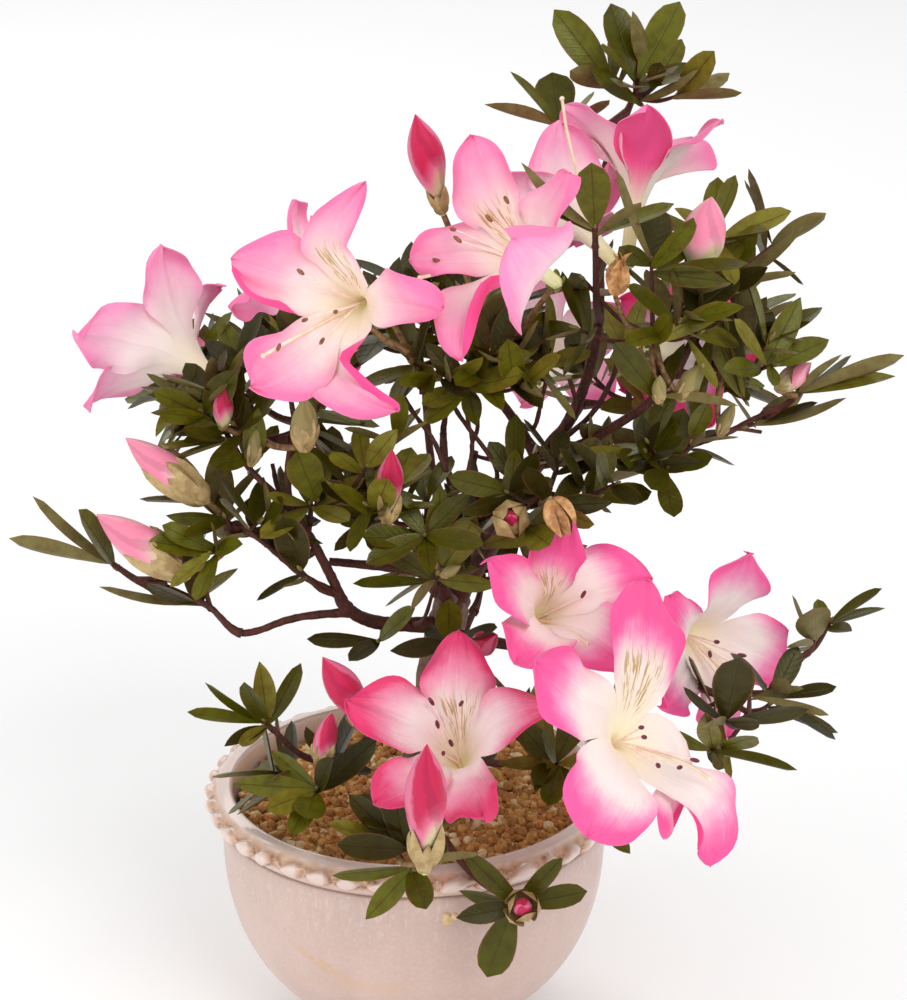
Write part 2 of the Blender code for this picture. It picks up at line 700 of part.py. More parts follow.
def grow_blooms(standing, paths, finish):
    """Each bloom on its own stalk; blooms of one bud share a stalk and are fused."""
    for name, heads in BLOOMS.items():
        pieces = []
        first_path = None
        for limb, share, throat, turn, tilt, roll, length, opening in heads:
            rings, calyx = bloom_rings(throat, turn, tilt, roll, length, opening)
            head = body_of(rings)
            if first_path is None:
                start, _ = point_along(paths[limb], share)
                radii = (STALK_BASE_RADIUS, STALK_RADIUS)
                stalk, first_path = clear_route(start, calyx, radii, standing)
            else:
                start, _ = point_along(first_path, 0.5)
                path = bowed(start, calyx, TWIG_BOW, 0.0)
                stalk = body_of(tube_rings(path, [STALK_RADIUS] * len(path), TWIG_SIDES))
            pieces += [stalk, head]
        joined = fuse(name, pieces, finish)
        standing.add(name, joined)


def grow_foliage(standing, paths, finish):
    stems = {}
    for mass, (limb, share, centre, reach, _) in MASSES.items():
        start, _ = point_along(paths[limb], share)
        hub = Vector(centre) - UP * HUB_DROP * reach[2]
        stem, path = clear_route(start, hub, (STEM_RADIUS, TWIG_RADIUS), standing)
        stems[mass] = (stem, path)
        standing.add(mass, stem)
    for mass in MASSES:
        pieces = grow_mass(mass, *stems[mass], standing)
        standing.add(mass, fuse(mass, pieces, finish))


def main():
    clear_scene()
    standing = Standing()
    bark = material("bark", COLOURS["bark"], 0.85)
    pot = make_pot()
    standing.add("pot", pot)
    finish_object("pot", pot, material("glaze", COLOURS["pot"], 0.35))
    soil = make_soil()
    standing.add("soil", soil)
    finish_object("soil", soil, material("soil", COLOURS["soil"], 0.95))
    trunk, trunk_path = make_trunk()
    standing.add("trunk", trunk)
    finish_object("trunk", trunk, bark)
    paths = {"trunk": trunk_path}
    grow_limbs(standing, paths, bark)
    grow_blooms(standing, paths, material("petal", COLOURS["petal"], 0.6))
    grow_foliage(standing, paths, material("leaf", COLOURS["leaf"], 0.5))


main()
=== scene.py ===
from contextlib import contextmanager
import math
import random

import bpy
import numpy as np
from mathutils import Matrix, Vector, noise
from mathutils.bvhtree import BVHTree


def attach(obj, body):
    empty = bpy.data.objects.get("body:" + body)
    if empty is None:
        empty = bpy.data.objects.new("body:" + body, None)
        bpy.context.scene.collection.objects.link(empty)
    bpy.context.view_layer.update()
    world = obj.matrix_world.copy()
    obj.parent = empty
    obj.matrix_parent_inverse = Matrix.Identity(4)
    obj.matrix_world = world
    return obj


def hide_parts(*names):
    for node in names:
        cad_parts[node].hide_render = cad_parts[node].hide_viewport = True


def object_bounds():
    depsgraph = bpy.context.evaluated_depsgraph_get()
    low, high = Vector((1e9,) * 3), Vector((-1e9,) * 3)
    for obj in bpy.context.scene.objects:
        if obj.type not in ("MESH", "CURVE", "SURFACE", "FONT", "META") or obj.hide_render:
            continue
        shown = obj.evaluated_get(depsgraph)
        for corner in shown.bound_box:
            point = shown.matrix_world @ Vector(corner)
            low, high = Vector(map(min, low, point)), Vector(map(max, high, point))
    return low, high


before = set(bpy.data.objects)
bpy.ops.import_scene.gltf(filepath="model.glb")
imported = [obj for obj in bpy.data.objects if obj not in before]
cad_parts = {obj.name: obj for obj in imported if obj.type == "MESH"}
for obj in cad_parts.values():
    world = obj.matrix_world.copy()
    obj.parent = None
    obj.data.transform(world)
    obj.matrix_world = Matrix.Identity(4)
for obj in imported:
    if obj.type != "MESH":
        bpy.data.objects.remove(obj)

CAD_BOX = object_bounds()

# Sizes are in millimetres, as in the part's own tables; a finished piece is scaled to metres,
# so its finish reads places in metres.
MM = 0.001
UP = Vector((0.0, 0.0, 1.0))
GOLDEN_ANGLE = math.pi * (3.0 - math.sqrt(5.0))
SMOOTH_ANGLE = 50.0
FULL_TURN = 2.0 * math.pi
ANY_TURN = (0.0, 6.28)

# Pot and soil
POT_HEIGHT = 94.0
BELLY_RADIUS = 70.2
BELLY_DEPTH = 18.0
BOWL_DEPTH = 94.0
BOWL_FALL = 2.34
BOWL_ROUND = 2.2
FOOT_RADIUS = 38.5
FOOT_HEIGHT = 9.0
FOOT_ROUND = 2.0
WALL = 5.5
FLOOR_HEIGHT = 16.0
FLOOR_RADIUS = 24.0
BODY_ROWS = 16
RIM_OUTLINE = ((71.2, 10.4), (73.1, 8.3), (75.1, 5.5), (75.3, 3.2), (72.9, 1.4), (69.5, 0.0),
               (66.5, 0.6), (65.3, 8.0))
GROOVE_OUTLINE = ((71.0, 12.2), (70.2, 11.4), (70.4, 11.0))
CRIMPS = 39
CRIMP_SIDES = 16
CRIMP_SLANT = 0.3
CRIMP_VALLEY = 0.9
CRIMP_RISE = 1.3
LUMP_HALF_WIDTH = 0.37
LUMP_HALF_HEIGHT = 0.4
LUMP_LEVEL = 0.52
BEAD_HALF_WIDTH = 0.09
BEAD_HALF_HEIGHT = 0.13
BAND_CORE_RADIUS = 70.0
BAND_CORE_DEPTH = 6.0
BAND_TOP = 0.9
BAND_BOTTOM = 9.4
GROOVE_DEPTH = 11.1
CREASE_RADIUS = 67.0
MARKS_DEPTH = 14.0
# On the glaze, in metres: the foot of the band, and the tan streak's place and half size
BAND_FOOT = 0.083
STREAK_PLACE = (-0.031, 0.05)
STREAK_SIZE = (0.016, 0.0036)
SOIL_DROP = 9.0
SOIL_DOME = 2.0
SOIL_RADIUS = 64.3
CLEARANCE = 0.3
GRAIN_SPACING = 2.6
GRAIN_SIZES = (2.1, 3.8)
GRAIN_JITTER = (-0.9, 0.9)
GRAIN_ROW = 0.87
GRAIN_MARGIN = 0.9
LOOSE_MISSING = 0.72
GRAIN_SHARES = (5, 4, 2, 2)
CRUMBS = ((12.4, -68.6, 73.5, 3.2), (14.6, -68.4, 74.6, 2.2), (12.0, -69.0, 75.6, 1.8))

# Trunk and limbs
TRUNK_POINTS = ((7, 13, 0), (8, 13, 20), (10, 11, 48), (12, 8, 64), (14, 5, 76))
TRUNK_BASE_RADIUS = 11.5
TRUNK_TOP_RADIUS = 6.2
FLARE = 5.5
FLARE_HEIGHT = 6.5
TRUNK_TAPER = 0.7
ROOT_RIDGES = 5
RIDGE_LOW = 0.6
RIDGE_RISE = 0.8
TRUNK_FLUTE = 0.55
TRUNK_TWIST = 0.03
TRUNK_SIDES = 60
TRUNK_STEPS = 14
BARK_RELIEF = (("CLOUDS", 7.0, 1.3), ("STUCCI", 2.6, 0.7))
BOUGH_RELIEF = (("CLOUDS", 2.2, 0.55),)

# Limbs: what each grows from, how far along it, the points it runs through, its two radii
LIMBS = {
    "bough_left": ("trunk", 0.85, ((-12, -8, 160), (-23, -20, 171)), 3.8, 2.9),
    "bough_left_rising": ("bough_left", 1.0, (
        (-27, -24, 182), (-34, -28, 199), (-42, -32, 217), (-41, -30, 238)), 2.5, 1.5),
    "bough_left_arm": ("bough_left_rising", 0.64, ((-56, -28, 227), (-65, -22, 240)), 1.6, 1.2),
    "bough_left_middle": ("bough_left_rising", 0.1, (
        (-37, -30, 187), (-50, -32, 200), (-60, -30, 207)), 1.8, 1.3),
    "bough_left_low": ("bough_left", 0.93, ((-41, -22, 168), (-60, -24, 163)), 1.9, 1.6),
    "bough_left_reach": ("bough_left_low", 1.0, ((-71, -24, 173), (-86, -22, 180)), 1.6, 1.2),
    "bough_right": ("trunk", 0.98, ((28, 6, 185), (46, 4, 219)), 5.2, 3.8),
    "bough_middle": ("trunk", 1.0, ((16, -4, 199), (11, -12, 225), (12, -18, 246)), 2.2, 1.3),
    "bough_inner": ("bough_right", 0.97, ((32, -10, 243), (24, -18, 252)), 2.8, 1.8),
    "bough_top": ("bough_right", 1.0, (
        (55, 4, 232), (62, 6, 250), (66, 16, 270), (66, 34, 290), (68, 42, 312),
        (71, 36, 330)), 2.8, 1.5),
    "bough_far_right": ("bough_right", 1.0, (
        (59, -4, 226), (80, -12, 243), (91, -13, 256)), 2.7, 1.7),
    "bough_right_low": ("bough_right", 0.94, (
        (83, 0, 221), (107, 2, 227), (124, 4, 235)), 2.0, 1.3),
    "bough_skirt_right": ("trunk", 0.8, (
        (45, -28, 158), (72, -48, 160), (92, -58, 161)), 2.9, 1.7),
    "bough_front": ("trunk", 0.48, ((16, -12, 120), (10, -40, 112), (5, -58, 109)), 2.4, 1.5),
    "bough_front_left": ("trunk", 0.43, ((-12, -10, 118), (-28, -28, 114)), 2.0, 1.4),
    "bough_back_left": ("trunk", 0.95, ((-6, 28, 176), (-28, 46, 196), (-40, 56, 212)), 3.0, 1.6),
    "bough_back": ("trunk", 1.0, ((10, 26, 184), (6, 42, 206), (4, 50, 226)), 2.4, 1.5),
    "bough_back_right": ("bough_right", 0.7, ((50, 28, 212), (62, 50, 222)), 2.4, 1.6),
    "bough_back_low": ("trunk", 0.46, ((16, 34, 130), (22, 48, 140)), 2.2, 1.5),
}
LIMB_STEPS = 7
LIMB_SIDES = 12
FORK_SWELL = 0.45
FORK_REACH = 5.0
KNOT_SPACING = 7.0
KNOT_SWELL = 0.12
BARK_SHARE = 0.8

# Blooms: limb, how far along it, throat, compass turn, tilt up, roll, petal length, opening
BLOOMS = {
    "bloom_far_left": (("bough_left_arm", 1.0, (-71, -5, 253), -131, 19, 2, 50, 46),),
    "bloom_upper_left": (("bough_middle", 0.95, (-16, -55, 295), -19, 9, -7, 47, 54),
                         ("bough_middle", 0.95, (-29, -16, 286), -118, 26, 0, 35, 44)),
    "bloom_upper_middle": (("bough_inner", 0.9, (42, -45, 304), -32, 34, 38, 45, 49),),
    "bloom_top": (("bough_top", 0.5, (64, -14, 302), -150, 18, 6, 48, 36),
                  ("bough_top", 0.5, (76, 4, 305), 160, 66, 20, 48, 38)),
    "bloom_behind_right": (("bough_far_right", 0.8, (88, 32, 250), 150, -14, 10, 42, 50),),
    "bloom_lower_middle": (("bough_skirt_right", 0.45, (43, -46, 178), 21, 34, -11, 48, 38),),
    "bloom_low_right": (("bough_skirt_right", 0.8, (68, -108, 161), 49, 35, -33, 51, 72),),
    "bloom_skirt_right": (("bough_skirt_right", 1.0, (94, -42, 171), 41, 4, -27, 40, 58),),
    "bloom_front": (("bough_front", 0.8, (17, -62, 130), -11, 50, -3, 51, 46),),
    "bloom_back_left": (("bough_back_left", 1.0, (-34, 86, 226), -165, 24, 15, 42, 52),),
    "bloom_back_right": (("bough_back_right", 1.0, (48, 90, 222), 168, 12, -10, 42, 54),),
}
# How wide and how blunt the petals of a bloom's heads are, then each petal's own form: curl at its
# tip, turn and swing in degrees, shares of length and width, bow sideways, roll of an edge and
# how much of the half beside it stays flat
USUAL_FORM = (8, 0, 0, 1.0, 1.0, 0.0, 0)
USUAL_PETALS = (0.28, 0.74, (USUAL_FORM,) * 5)
PETAL_FORMS = {
    "bloom_far_left": ((0.28, 0.8, (
        USUAL_FORM, (14, 10, 0, 1.0, 1.0, 0.05, 40), USUAL_FORM,
        (6, -12, 0, 1.0, 0.95, -0.05, -30), USUAL_FORM)),),
    "bloom_upper_left": ((0.265, 0.64, (
        (10, 14, -5, 1.22, 0.62, 0.15, -60),
        (4, -10, 3, 1.04, 1.14, -0.03, 178, 0.34),
        (14, 8, 0, 1.04, 1.0, 0.05, -30),
        (30, -60, 4, 1.02, 0.8, -0.24, 170, 0.2),
        (26, 40, -4, 1.0, 0.9, 0.06, -60))),),
    "bloom_upper_middle": ((0.27, 0.66, (
        (4, 4, 0, 1.14, 1.02, 0.05, 0),
        (10, 8, 2, 1.02, 0.95, -0.05, 40),
        (24, -16, 4, 1.26, 1.0, -0.08, 170),
        (-165, 10, -18, 1.4, 1.6, 0.0, 30),
        (-6, -34, 0, 0.94, 0.9, 0.0, 60))),),
    "bloom_top": ((0.31, 0.66, (
        USUAL_FORM, (16, 12, 0, 1.0, 1.0, 0.06, 0), USUAL_FORM,
        USUAL_FORM, (10, -10, 0, 1.0, 1.0, -0.05, 0))), (0.34, 0.62, (
        (4, -8, 2, 1.0, 0.64, 0.0, 25), (14, 10, -14, 1.06, 0.6, 0.08, 90),
        USUAL_FORM, USUAL_FORM, (-4, 30, -9, 1.0, 0.96, 0.04, -20)))),
    "bloom_lower_middle": ((0.255, 0.64, (
        (18, -34, -4, 0.98, 0.86, 0.06, 90),
        (16, 16, 0, 1.04, 0.9, 0.06, -90), USUAL_FORM,
        USUAL_FORM, (4, 14, 3, 1.04, 1.22, 0.0, 0))),),
    "bloom_low_right": ((0.29, 0.6, (
        (-8, 0, 0, 1.12, 1.2, 0.0, 20),
        (8, -6, 0, 1.02, 1.0, 0.06, 25),
        (14, 6, 8, 1.04, 1.1, -0.03, 20),
        (30, 30, 2, 1.1, 0.84, 0.1, -110),
        (64, -60, -76, 0.84, 0.8, 0.1, 120))),),
    "bloom_skirt_right": ((0.27, 0.64, (
        (12, 2, 4, 1.02, 1.45, -0.05, 20),
        (16, 14, 0, 1.0, 0.85, 0.06, -100), USUAL_FORM,
        (12, 0, 0, 1.06, 0.9, 0.0, 30),
        (8, 12, -14, 1.06, 1.2, 0.04, -20))),),
    "bloom_front": ((0.225, 0.7, (
        (6, 0, 0, 1.0, 1.0, 0.0, 0), (10, 8, 2, 1.02, 1.15, -0.03, 0),
        (22, -15, 0, 1.0, 0.95, 0.06, 60),
        (14, 5, 0, 1.0, 0.92, -0.06, 0),
        (14, -14, 0, 1.02, 1.0, 0.05, -50))),),
}
# Petals with a finish of their own, for each head: 1 is flecked, as the top one is, and 2 odd
USUAL_MARKS = {0: 1}
PETAL_MARKS = {"bloom_top": ({}, {0: 2}), "bloom_upper_middle": ({0: 1, 3: 2},),
               "bloom_upper_left": (USUAL_MARKS, dict.fromkeys(range(5), 2)),
               "bloom_skirt_right": ({},)}
# The kind of petal finish of each bloom that isn't the usual deep or soft
BLOOM_KINDS = {"bloom_front": "front", "bloom_top": "top", "bloom_far_left": "pale",
               "bloom_back_right": "pale"}
STRONG_BLOOMS = ("bloom_lower_middle", "bloom_low_right", "bloom_skirt_right", "bloom_front",
                 "bloom_behind_right", "bloom_back_left")
PETALS = 5
PETAL_TURN = 360.0 / PETALS
PETAL_ACROSS = 20
PETAL_ALONG = 28
TUBE_SHARE = 0.3
TUBE_LENGTH = 16.0
TUBE_BASE_RADIUS = 1.8
THROAT_RADIUS = 2.2
PETALS_JOINED = 0.3
PETALS_FREE = 0.58
PETAL_EDGES = (0.42, 0.1)
TIP_CROWDING = 1.3
PETAL_FRILL = 0.12
PETAL_BOW = 22.2
PETAL_THICKNESS = 0.4
PETAL_SAMPLES = 60
# The ranges that one petal's own habit is drawn from
PETAL_HABIT = {"width": (0.94, 1.08), "curl": (-6.0, 8.0), "fullest": (1.5, 1.9),
               "blunt": (-0.08, 0.08), "cup": (-0.14, 0.04), "swing": (-4.0, 4.0),
               "sway": (-0.07, 0.07), "roll": (-70.0, 70.0), "waves": (1.5, 3.0),
               "phase": ANY_TURN, "ruffle": (1.6, 3.4), "recurved": (0.4, 3.4)}
CREASE = 0.9
CREASE_WIDTH = 0.13
WRINKLE = 1.7
STALK_RADIUS = 1.0

# Where each bloom's anthers are, on its own side and top axes, and the end of its style
STAMENS = {
    "bloom_upper_left": (((12, 11), (-1, 1), (2, -9), (16, -14), (9, -4)), (20, -18)),
    "bloom_top": (((-9, -5), (-4, -9), (4, -9), (9, -5), (0, -12)), (-11, 41)),
    "bloom_upper_middle": (((-6, 12), (2, 10), (14, 12), (14, 8), (23, 5)), (30, 1)),
    "bloom_lower_middle": (((-9, 11), (-13, 10), (-8, 3), (-21, 4), (-14, -4)), (-8, -14)),
    "bloom_low_right": (((13, -6), (12, -9), (6, -17), (-3, -16), (-9, -12)), (-14, -18)),
    "bloom_skirt_right": (((9, 1), (14, -3), (-4, -1), (-2, -12), (-16, -8)), (-5, -14)),
    "bloom_front": (((9, 11), (-1, 11), (-1, -4), (1, -8), (5, 2)), (26, 1)),
}
USUAL_STAMENS = (((-9, -5), (-4, -9), (4, -9), (9, -5), (0, -12)), (0, -17))
ANTHER_FORWARD = 25.0
ANTHER_SIZE = (0.8, 0.7, 1.8)
FILAMENT_RADIUS = 0.46
FILAMENT_TAPER = 0.12
STYLE_FORWARD = 32.0
STYLE_RADIUS = 0.6
STIGMA_SIZE = (0.95, 0.7)
ORGANS_START = 9.0
SEPAL_LENGTHS = (4.2, 6.0)
SEPAL_WIDTH = 2.6
SEPAL_FOOT = 1.2
SEPAL_SPREAD = (0.45, 0.8)

# Foliage masses: limb, how far along it, centre, reach, twigs, leaf length and slimness
MASSES = {
    "foliage_top": ("bough_top", 1.0, (78, 30, 350), (46, 26, 26), 1, 28, 0.42),
    "foliage_top_right": ("bough_far_right", 1.0, (106, -2, 300), (34, 26, 24), 2, 27, 0.34),
    "foliage_upper_middle": ("bough_top", 0.42, (62, -46, 318), (26, 22, 24), 0, 28, 0.36),
    "foliage_right_inner": ("bough_far_right", 0.9, (82, -24, 281), (40, 28, 22), 6, 26, 0.36),
    "foliage_right": ("bough_far_right", 1.0, (112, 0, 262), (32, 30, 24), 4, 26, 0.34),
    "foliage_right_shoot": ("bough_right_low", 1.0, (148, 4, 246), (30, 22, 18), 0, 28, 0.28),
    "foliage_right_low": ("bough_right_low", 0.62, (84, -8, 222), (30, 26, 17), 5, 21, 0.46),
    "foliage_inner": ("bough_inner", 1.0, (20, -18, 264), (44, 30, 22), 8, 23, 0.38),
    "foliage_middle": ("bough_middle", 0.55, (4, -34, 212), (40, 24, 20), 6, 21, 0.38),
    "foliage_middle_right": ("bough_right", 0.7, (48, -26, 222), (24, 22, 18), 3, 21, 0.4),
    "foliage_left_inner": ("bough_left_rising", 0.7, (-26, -24, 216), (26, 24, 20), 4, 21, 0.37),
    "foliage_left_top": ("bough_left_rising", 1.0, (-56, -22, 243), (42, 30, 22), 6, 23, 0.36),
    "foliage_left": ("bough_left_middle", 1.0, (-62, -28, 203), (36, 26, 22), 3, 23, 0.35),
    "foliage_left_shoot": ("bough_left_reach", 1.0, (-110, -20, 190), (32, 20, 18), 0, 27, 0.28),
    "foliage_low_left": ("bough_front_left", 1.0, (-58, -46, 144), (26, 18, 18), 0, 22, 0.38),
    "foliage_rosette": ("bough_front_left", 0.9, (-36, -42, 114), (34, 24, 18), 1, 25, 0.42),
    "foliage_front": ("bough_front", 1.0, (-8, -76, 113), (26, 20, 26), 1, 25, 0.42),
    "foliage_hanging": ("bough_front", 1.0, (37, -92, 92), (26, 15, 32), 0, 22, 0.52),
    "foliage_front_right": ("bough_front", 0.5, (48, -50, 134), (26, 22, 20), 3, 23, 0.40),
    "foliage_skirt_shoot": ("bough_skirt_right", 0.4, (143, -48, 179), (24, 20, 18), 0, 22, 0.34),
    "foliage_skirt_right": ("bough_skirt_right", 1.0, (118, -72, 157), (28, 24, 24), 2, 25, 0.34),
    "foliage_back_left": ("bough_back_left", 1.0, (-62, 62, 228), (44, 34, 30), 11, 25, 0.40),
    "foliage_back": ("bough_back", 1.0, (2, 56, 250), (40, 32, 28), 10, 25, 0.40),
    "foliage_back_right": ("bough_back_right", 1.0, (96, 66, 232), (42, 34, 28), 12, 25, 0.38),
    "foliage_back_low": ("bough_back_low", 1.0, (26, 66, 152), (40, 26, 22), 7, 24, 0.40),
}

# Sprays whose leaves show one by one: what each grows from (a mass's stem, or a limb and how far
# along it), the pixel where its middle shows and how many millimetres back that lies, and for
# each leaf the pixel of its tip, its width in pixels and whether its underside shows
SPRAYS = (
    ("foliage_top", 0.0, (608, 80, 30), ((556, 10, 33, 0), (619, 30, 16, 0), (566, 65, 17, 1),
        (637, 45, 6, 1))),
    ("foliage_top", 0.0, (642, 104, 28), ((595, 70, 22, 0), (645, 70, 21, 0), (704, 77, 12, 1))),
    ("foliage_top", 0.0, (658, 82, 32), ((625, 11, 20, 1), (684, 37, 21, 0), (661, 64, 17, 0))),
    ("foliage_top", 0.0, (680, 96, 30), ((711, 56, 27, 0), (729, 80, 18, 1), (742, 90, 6, 1))),
    ("foliage_top", 0.0, (556, 127, 26), ((519, 68, 10, 0), (553, 70, 40, 0), (486, 95, 9, 1),
        (593, 89, 8, 0), (608, 98, 9, 1))),
    ("foliage_upper_middle", 0.0, (594, 228, -46), ((593, 167, 34, 0), (513, 171, 15, 1),
        (537, 190, 14, 0), (673, 199, 17, 0), (640, 198, 8, 1))),
    ("foliage_right_inner", 0.0, (650, 262, -42), ((612, 170, 10, 1), (658, 205, 33, 0),
        (622, 250, 14, 0), (704, 237, 20, 0), (696, 225, 15, 0), (748, 260, 17, 0),
        (724, 281, 22, 0))),
    ("foliage_right_inner", 0.0, (650, 345, -44), ((729, 304, 20, 0), (693, 315, 9, 1),
        (668, 318, 18, 0))),
    ("foliage_right_inner", 0.0, (660, 402, -34), ((617, 343, 28, 0), (680, 340, 14, 0),
        (739, 397, 9, 1), (672, 352, 16, 0))),
    ("foliage_top_right", 0.0, (718, 290, -6), ((752, 222, 30, 0), (757, 243, 24, 0),
        (812, 237, 13, 1), (793, 263, 4, 1), (763, 272, 20, 0), (762, 283, 14, 1))),
    ("foliage_right", 0.0, (745, 400, -8), ((709, 325, 20, 0), (731, 308, 19, 0), (728, 319, 12, 0),
        (716, 363, 24, 0))),
    ("foliage_right", 0.0, (692, 440, -14), ((707, 408, 20, 0), (703, 335, 17, 0))),
    ("foliage_right_shoot", 0.0, (800, 390, 2), ((793, 336, 19, 0), (901, 351, 14, 1),
        (893, 367, 18, 0), (853, 358, 7, 0), (836, 348, 9, 1))),
    ("foliage_right_shoot", 0.0, (748, 427, 2), ((848, 411, 10, 1), (797, 395, 22, 1),
        (815, 399, 10, 0))),
    ("foliage_right_low", 0.0, (640, 462, -12), ((683, 437, 16, 0), (646, 440, 26, 0),
        (700, 463, 20, 0), (618, 445, 14, 0))),
    ("foliage_middle_right", 0.0, (553, 505, -46), ((528, 470, 18, 0), (583, 474, 22, 0),
        (607, 503, 20, 0), (590, 525, 12, 0))),
    ("foliage_middle_right", 0.0, (507, 492, -44), ((453, 476, 24, 0), (516, 447, 17, 0),
        (537, 458, 18, 0), (518, 473, 20, 0), (467, 515, 14, 0))),
    ("foliage_middle_right", 0.0, (524, 528, -46), ((546, 545, 22, 0), (549, 562, 17, 0),
        (548, 511, 12, 0))),
    ("foliage_middle_right", 0.0, (617, 483, -36), ((575, 440, 15, 0), (640, 500, 16, 0),
        (600, 455, 14, 0))),
    ("bough_left", 0.3, (437, 575, -40), ((441, 488, 25, 0), (424, 519, 23, 0), (475, 519, 30, 0),
        (482, 562, 15, 0), (497, 588, 17, 0), (404, 607, 10, 1), (364, 533, 22, 0),
        (404, 551, 17, 0), (352, 581, 14, 0))),
    ("trunk", 0.78, (448, 640, -22), ((450, 605, 24, 0), (425, 628, 15, 0), (495, 625, 12, 0),
        (396, 652, 18, 0))),
    ("bough_left", 0.55, (379, 642, -24), ((410, 608, 16, 0), (306, 642, 16, 0),
        (352, 655, 14, 0))),
    ("foliage_left_inner", 0.0, (378, 517, -42), ((337, 482, 15, 0), (331, 517, 22, 0),
        (386, 480, 26, 0), (333, 500, 9, 0), (430, 498, 9, 0))),
    ("foliage_left_inner", 0.0, (367, 468, -38), ((391, 433, 22, 0), (358, 426, 18, 0),
        (333, 455, 12, 0))),
    ("foliage_left_inner", 0.0, (395, 440, -36), ((400, 398, 18, 0), (347, 424, 6, 1),
        (425, 417, 6, 1), (416, 404, 9, 0))),
    ("foliage_left_inner", 0.0, (318, 500, -34), ((298, 453, 34, 0), (338, 462, 16, 0))),
    ("bough_left_rising", 0.1, (300, 570, -36), ((283, 520, 32, 0), (256, 597, 9, 0),
        (286, 592, 7, 1))),
    ("foliage_left_top", 0.0, (204, 412, -28), ((231, 373, 28, 0), (148, 371, 9, 0),
        (158, 391, 20, 0), (150, 405, 14, 0), (162, 416, 12, 0))),
    ("foliage_left_top", 0.0, (225, 438, -30), ((185, 428, 14, 0), (154, 445, 9, 0),
        (160, 455, 5, 0), (246, 396, 20, 0), (266, 404, 8, 0), (174, 434, 5, 1))),
    ("foliage_left_top", 0.0, (250, 466, -28), ((256, 415, 22, 0), (278, 424, 16, 0),
        (214, 465, 18, 0))),
    ("foliage_left", 0.0, (225, 517, -32), ((168, 522, 13, 0), (184, 533, 14, 0), (142, 543, 8, 0),
        (206, 488, 16, 0))),
    ("foliage_left", 0.0, (262, 530, -30), ((280, 500, 14, 0), (246, 500, 13, 0),
        (209, 542, 5, 1))),
    ("foliage_left_shoot", 0.0, (205, 604, -22), ((190, 557, 21, 0), (99, 599, 6, 1),
        (148, 590, 13, 0), (236, 562, 12, 0))),
    ("foliage_left_shoot", 0.0, (203, 556, -20), ((188, 534, 18, 0), (168, 549, 12, 0),
        (213, 530, 8, 1))),
    ("foliage_left_shoot", 0.0, (112, 564, -20), ((12, 535, 15, 1), (25, 505, 9, 1),
        (87, 510, 13, 0))),
    ("foliage_low_left", 0.0, (266, 722, -44), ((187, 710, 14, 0), (203, 691, 8, 0),
        (262, 669, 19, 0), (303, 666, 16, 0), (225, 740, 13, 0), (240, 744, 12, 0),
        (242, 690, 15, 0))),
    ("foliage_rosette", 0.0, (316, 790, -56), ((232, 783, 24, 0), (270, 749, 17, 0),
        (268, 808, 22, 0), (291, 832, 20, 0), (306, 816, 26, 0), (375, 742, 24, 0),
        (322, 762, 12, 0))),
    ("foliage_rosette", 0.0, (335, 760, -44), ((303, 735, 12, 0), (330, 728, 18, 0),
        (350, 708, 12, 0), (372, 768, 14, 0))),
    ("foliage_front", 0.0, (412, 868, -96), ((367, 920, 22, 0), (424, 905, 23, 0),
        (333, 883, 14, 0), (478, 846, 9, 1))),
    ("foliage_front", 0.0, (408, 850, -88), ((340, 845, 28, 0), (331, 818, 16, 0),
        (352, 796, 22, 0), (390, 774, 26, 0))),
    ("foliage_hanging", 0.0, (521, 907, -88), ((467, 855, 20, 0), (459, 897, 15, 0),
        (459, 917, 23, 0), (560, 861, 17, 0), (586, 891, 22, 0), (487, 980, 35, 0))),
    ("foliage_front_right", 0.0, (562, 765, -60), ((497, 760, 15, 0), (547, 806, 22, 0),
        (535, 784, 9, 0), (520, 722, 26, 0), (530, 690, 16, 0))),
    ("foliage_front_right", 0.0, (604, 822, -84), ((628, 852, 17, 0), (640, 822, 10, 0))),
    ("foliage_skirt_shoot", 0.0, (830, 622, -48), ((877, 585, 9, 0), (884, 602, 9, 0),
        (847, 625, 10, 0), (819, 596, 14, 0))),
    ("foliage_skirt_shoot", 0.0, (817, 640, -50), ((812, 602, 34, 1), (786, 598, 4, 1),
        (788, 641, 8, 1), (790, 652, 4, 0))),
    ("foliage_skirt_right", 0.0, (724, 722, -98), ((738, 662, 38, 0), (809, 712, 16, 0),
        (757, 728, 10, 0), (680, 690, 8, 0), (698, 717, 10, 1))),
    ("foliage_skirt_right", 0.0, (750, 694, -80), ((831, 711, 8, 1), (803, 685, 9, 1))),
    ("foliage_skirt_right", 0.0, (708, 752, -92), ((799, 761, 11, 0), (666, 734, 14, 0),
        (706, 722, 18, 0), (718, 765, 8, 0), (757, 742, 14, 0))),
    ("foliage_inner", 0.0, (441, 380, -34), ((402, 380, 13, 0), (466, 392, 16, 0), (481, 364, 9, 0),
        (398, 356, 11, 0), (455, 354, 10, 1))),
    ("foliage_inner", 0.0, (522, 386, -38), ((555, 355, 16, 0), (495, 383, 8, 1), (548, 390, 9, 1),
        (485, 362, 16, 0), (510, 345, 22, 0))),
)

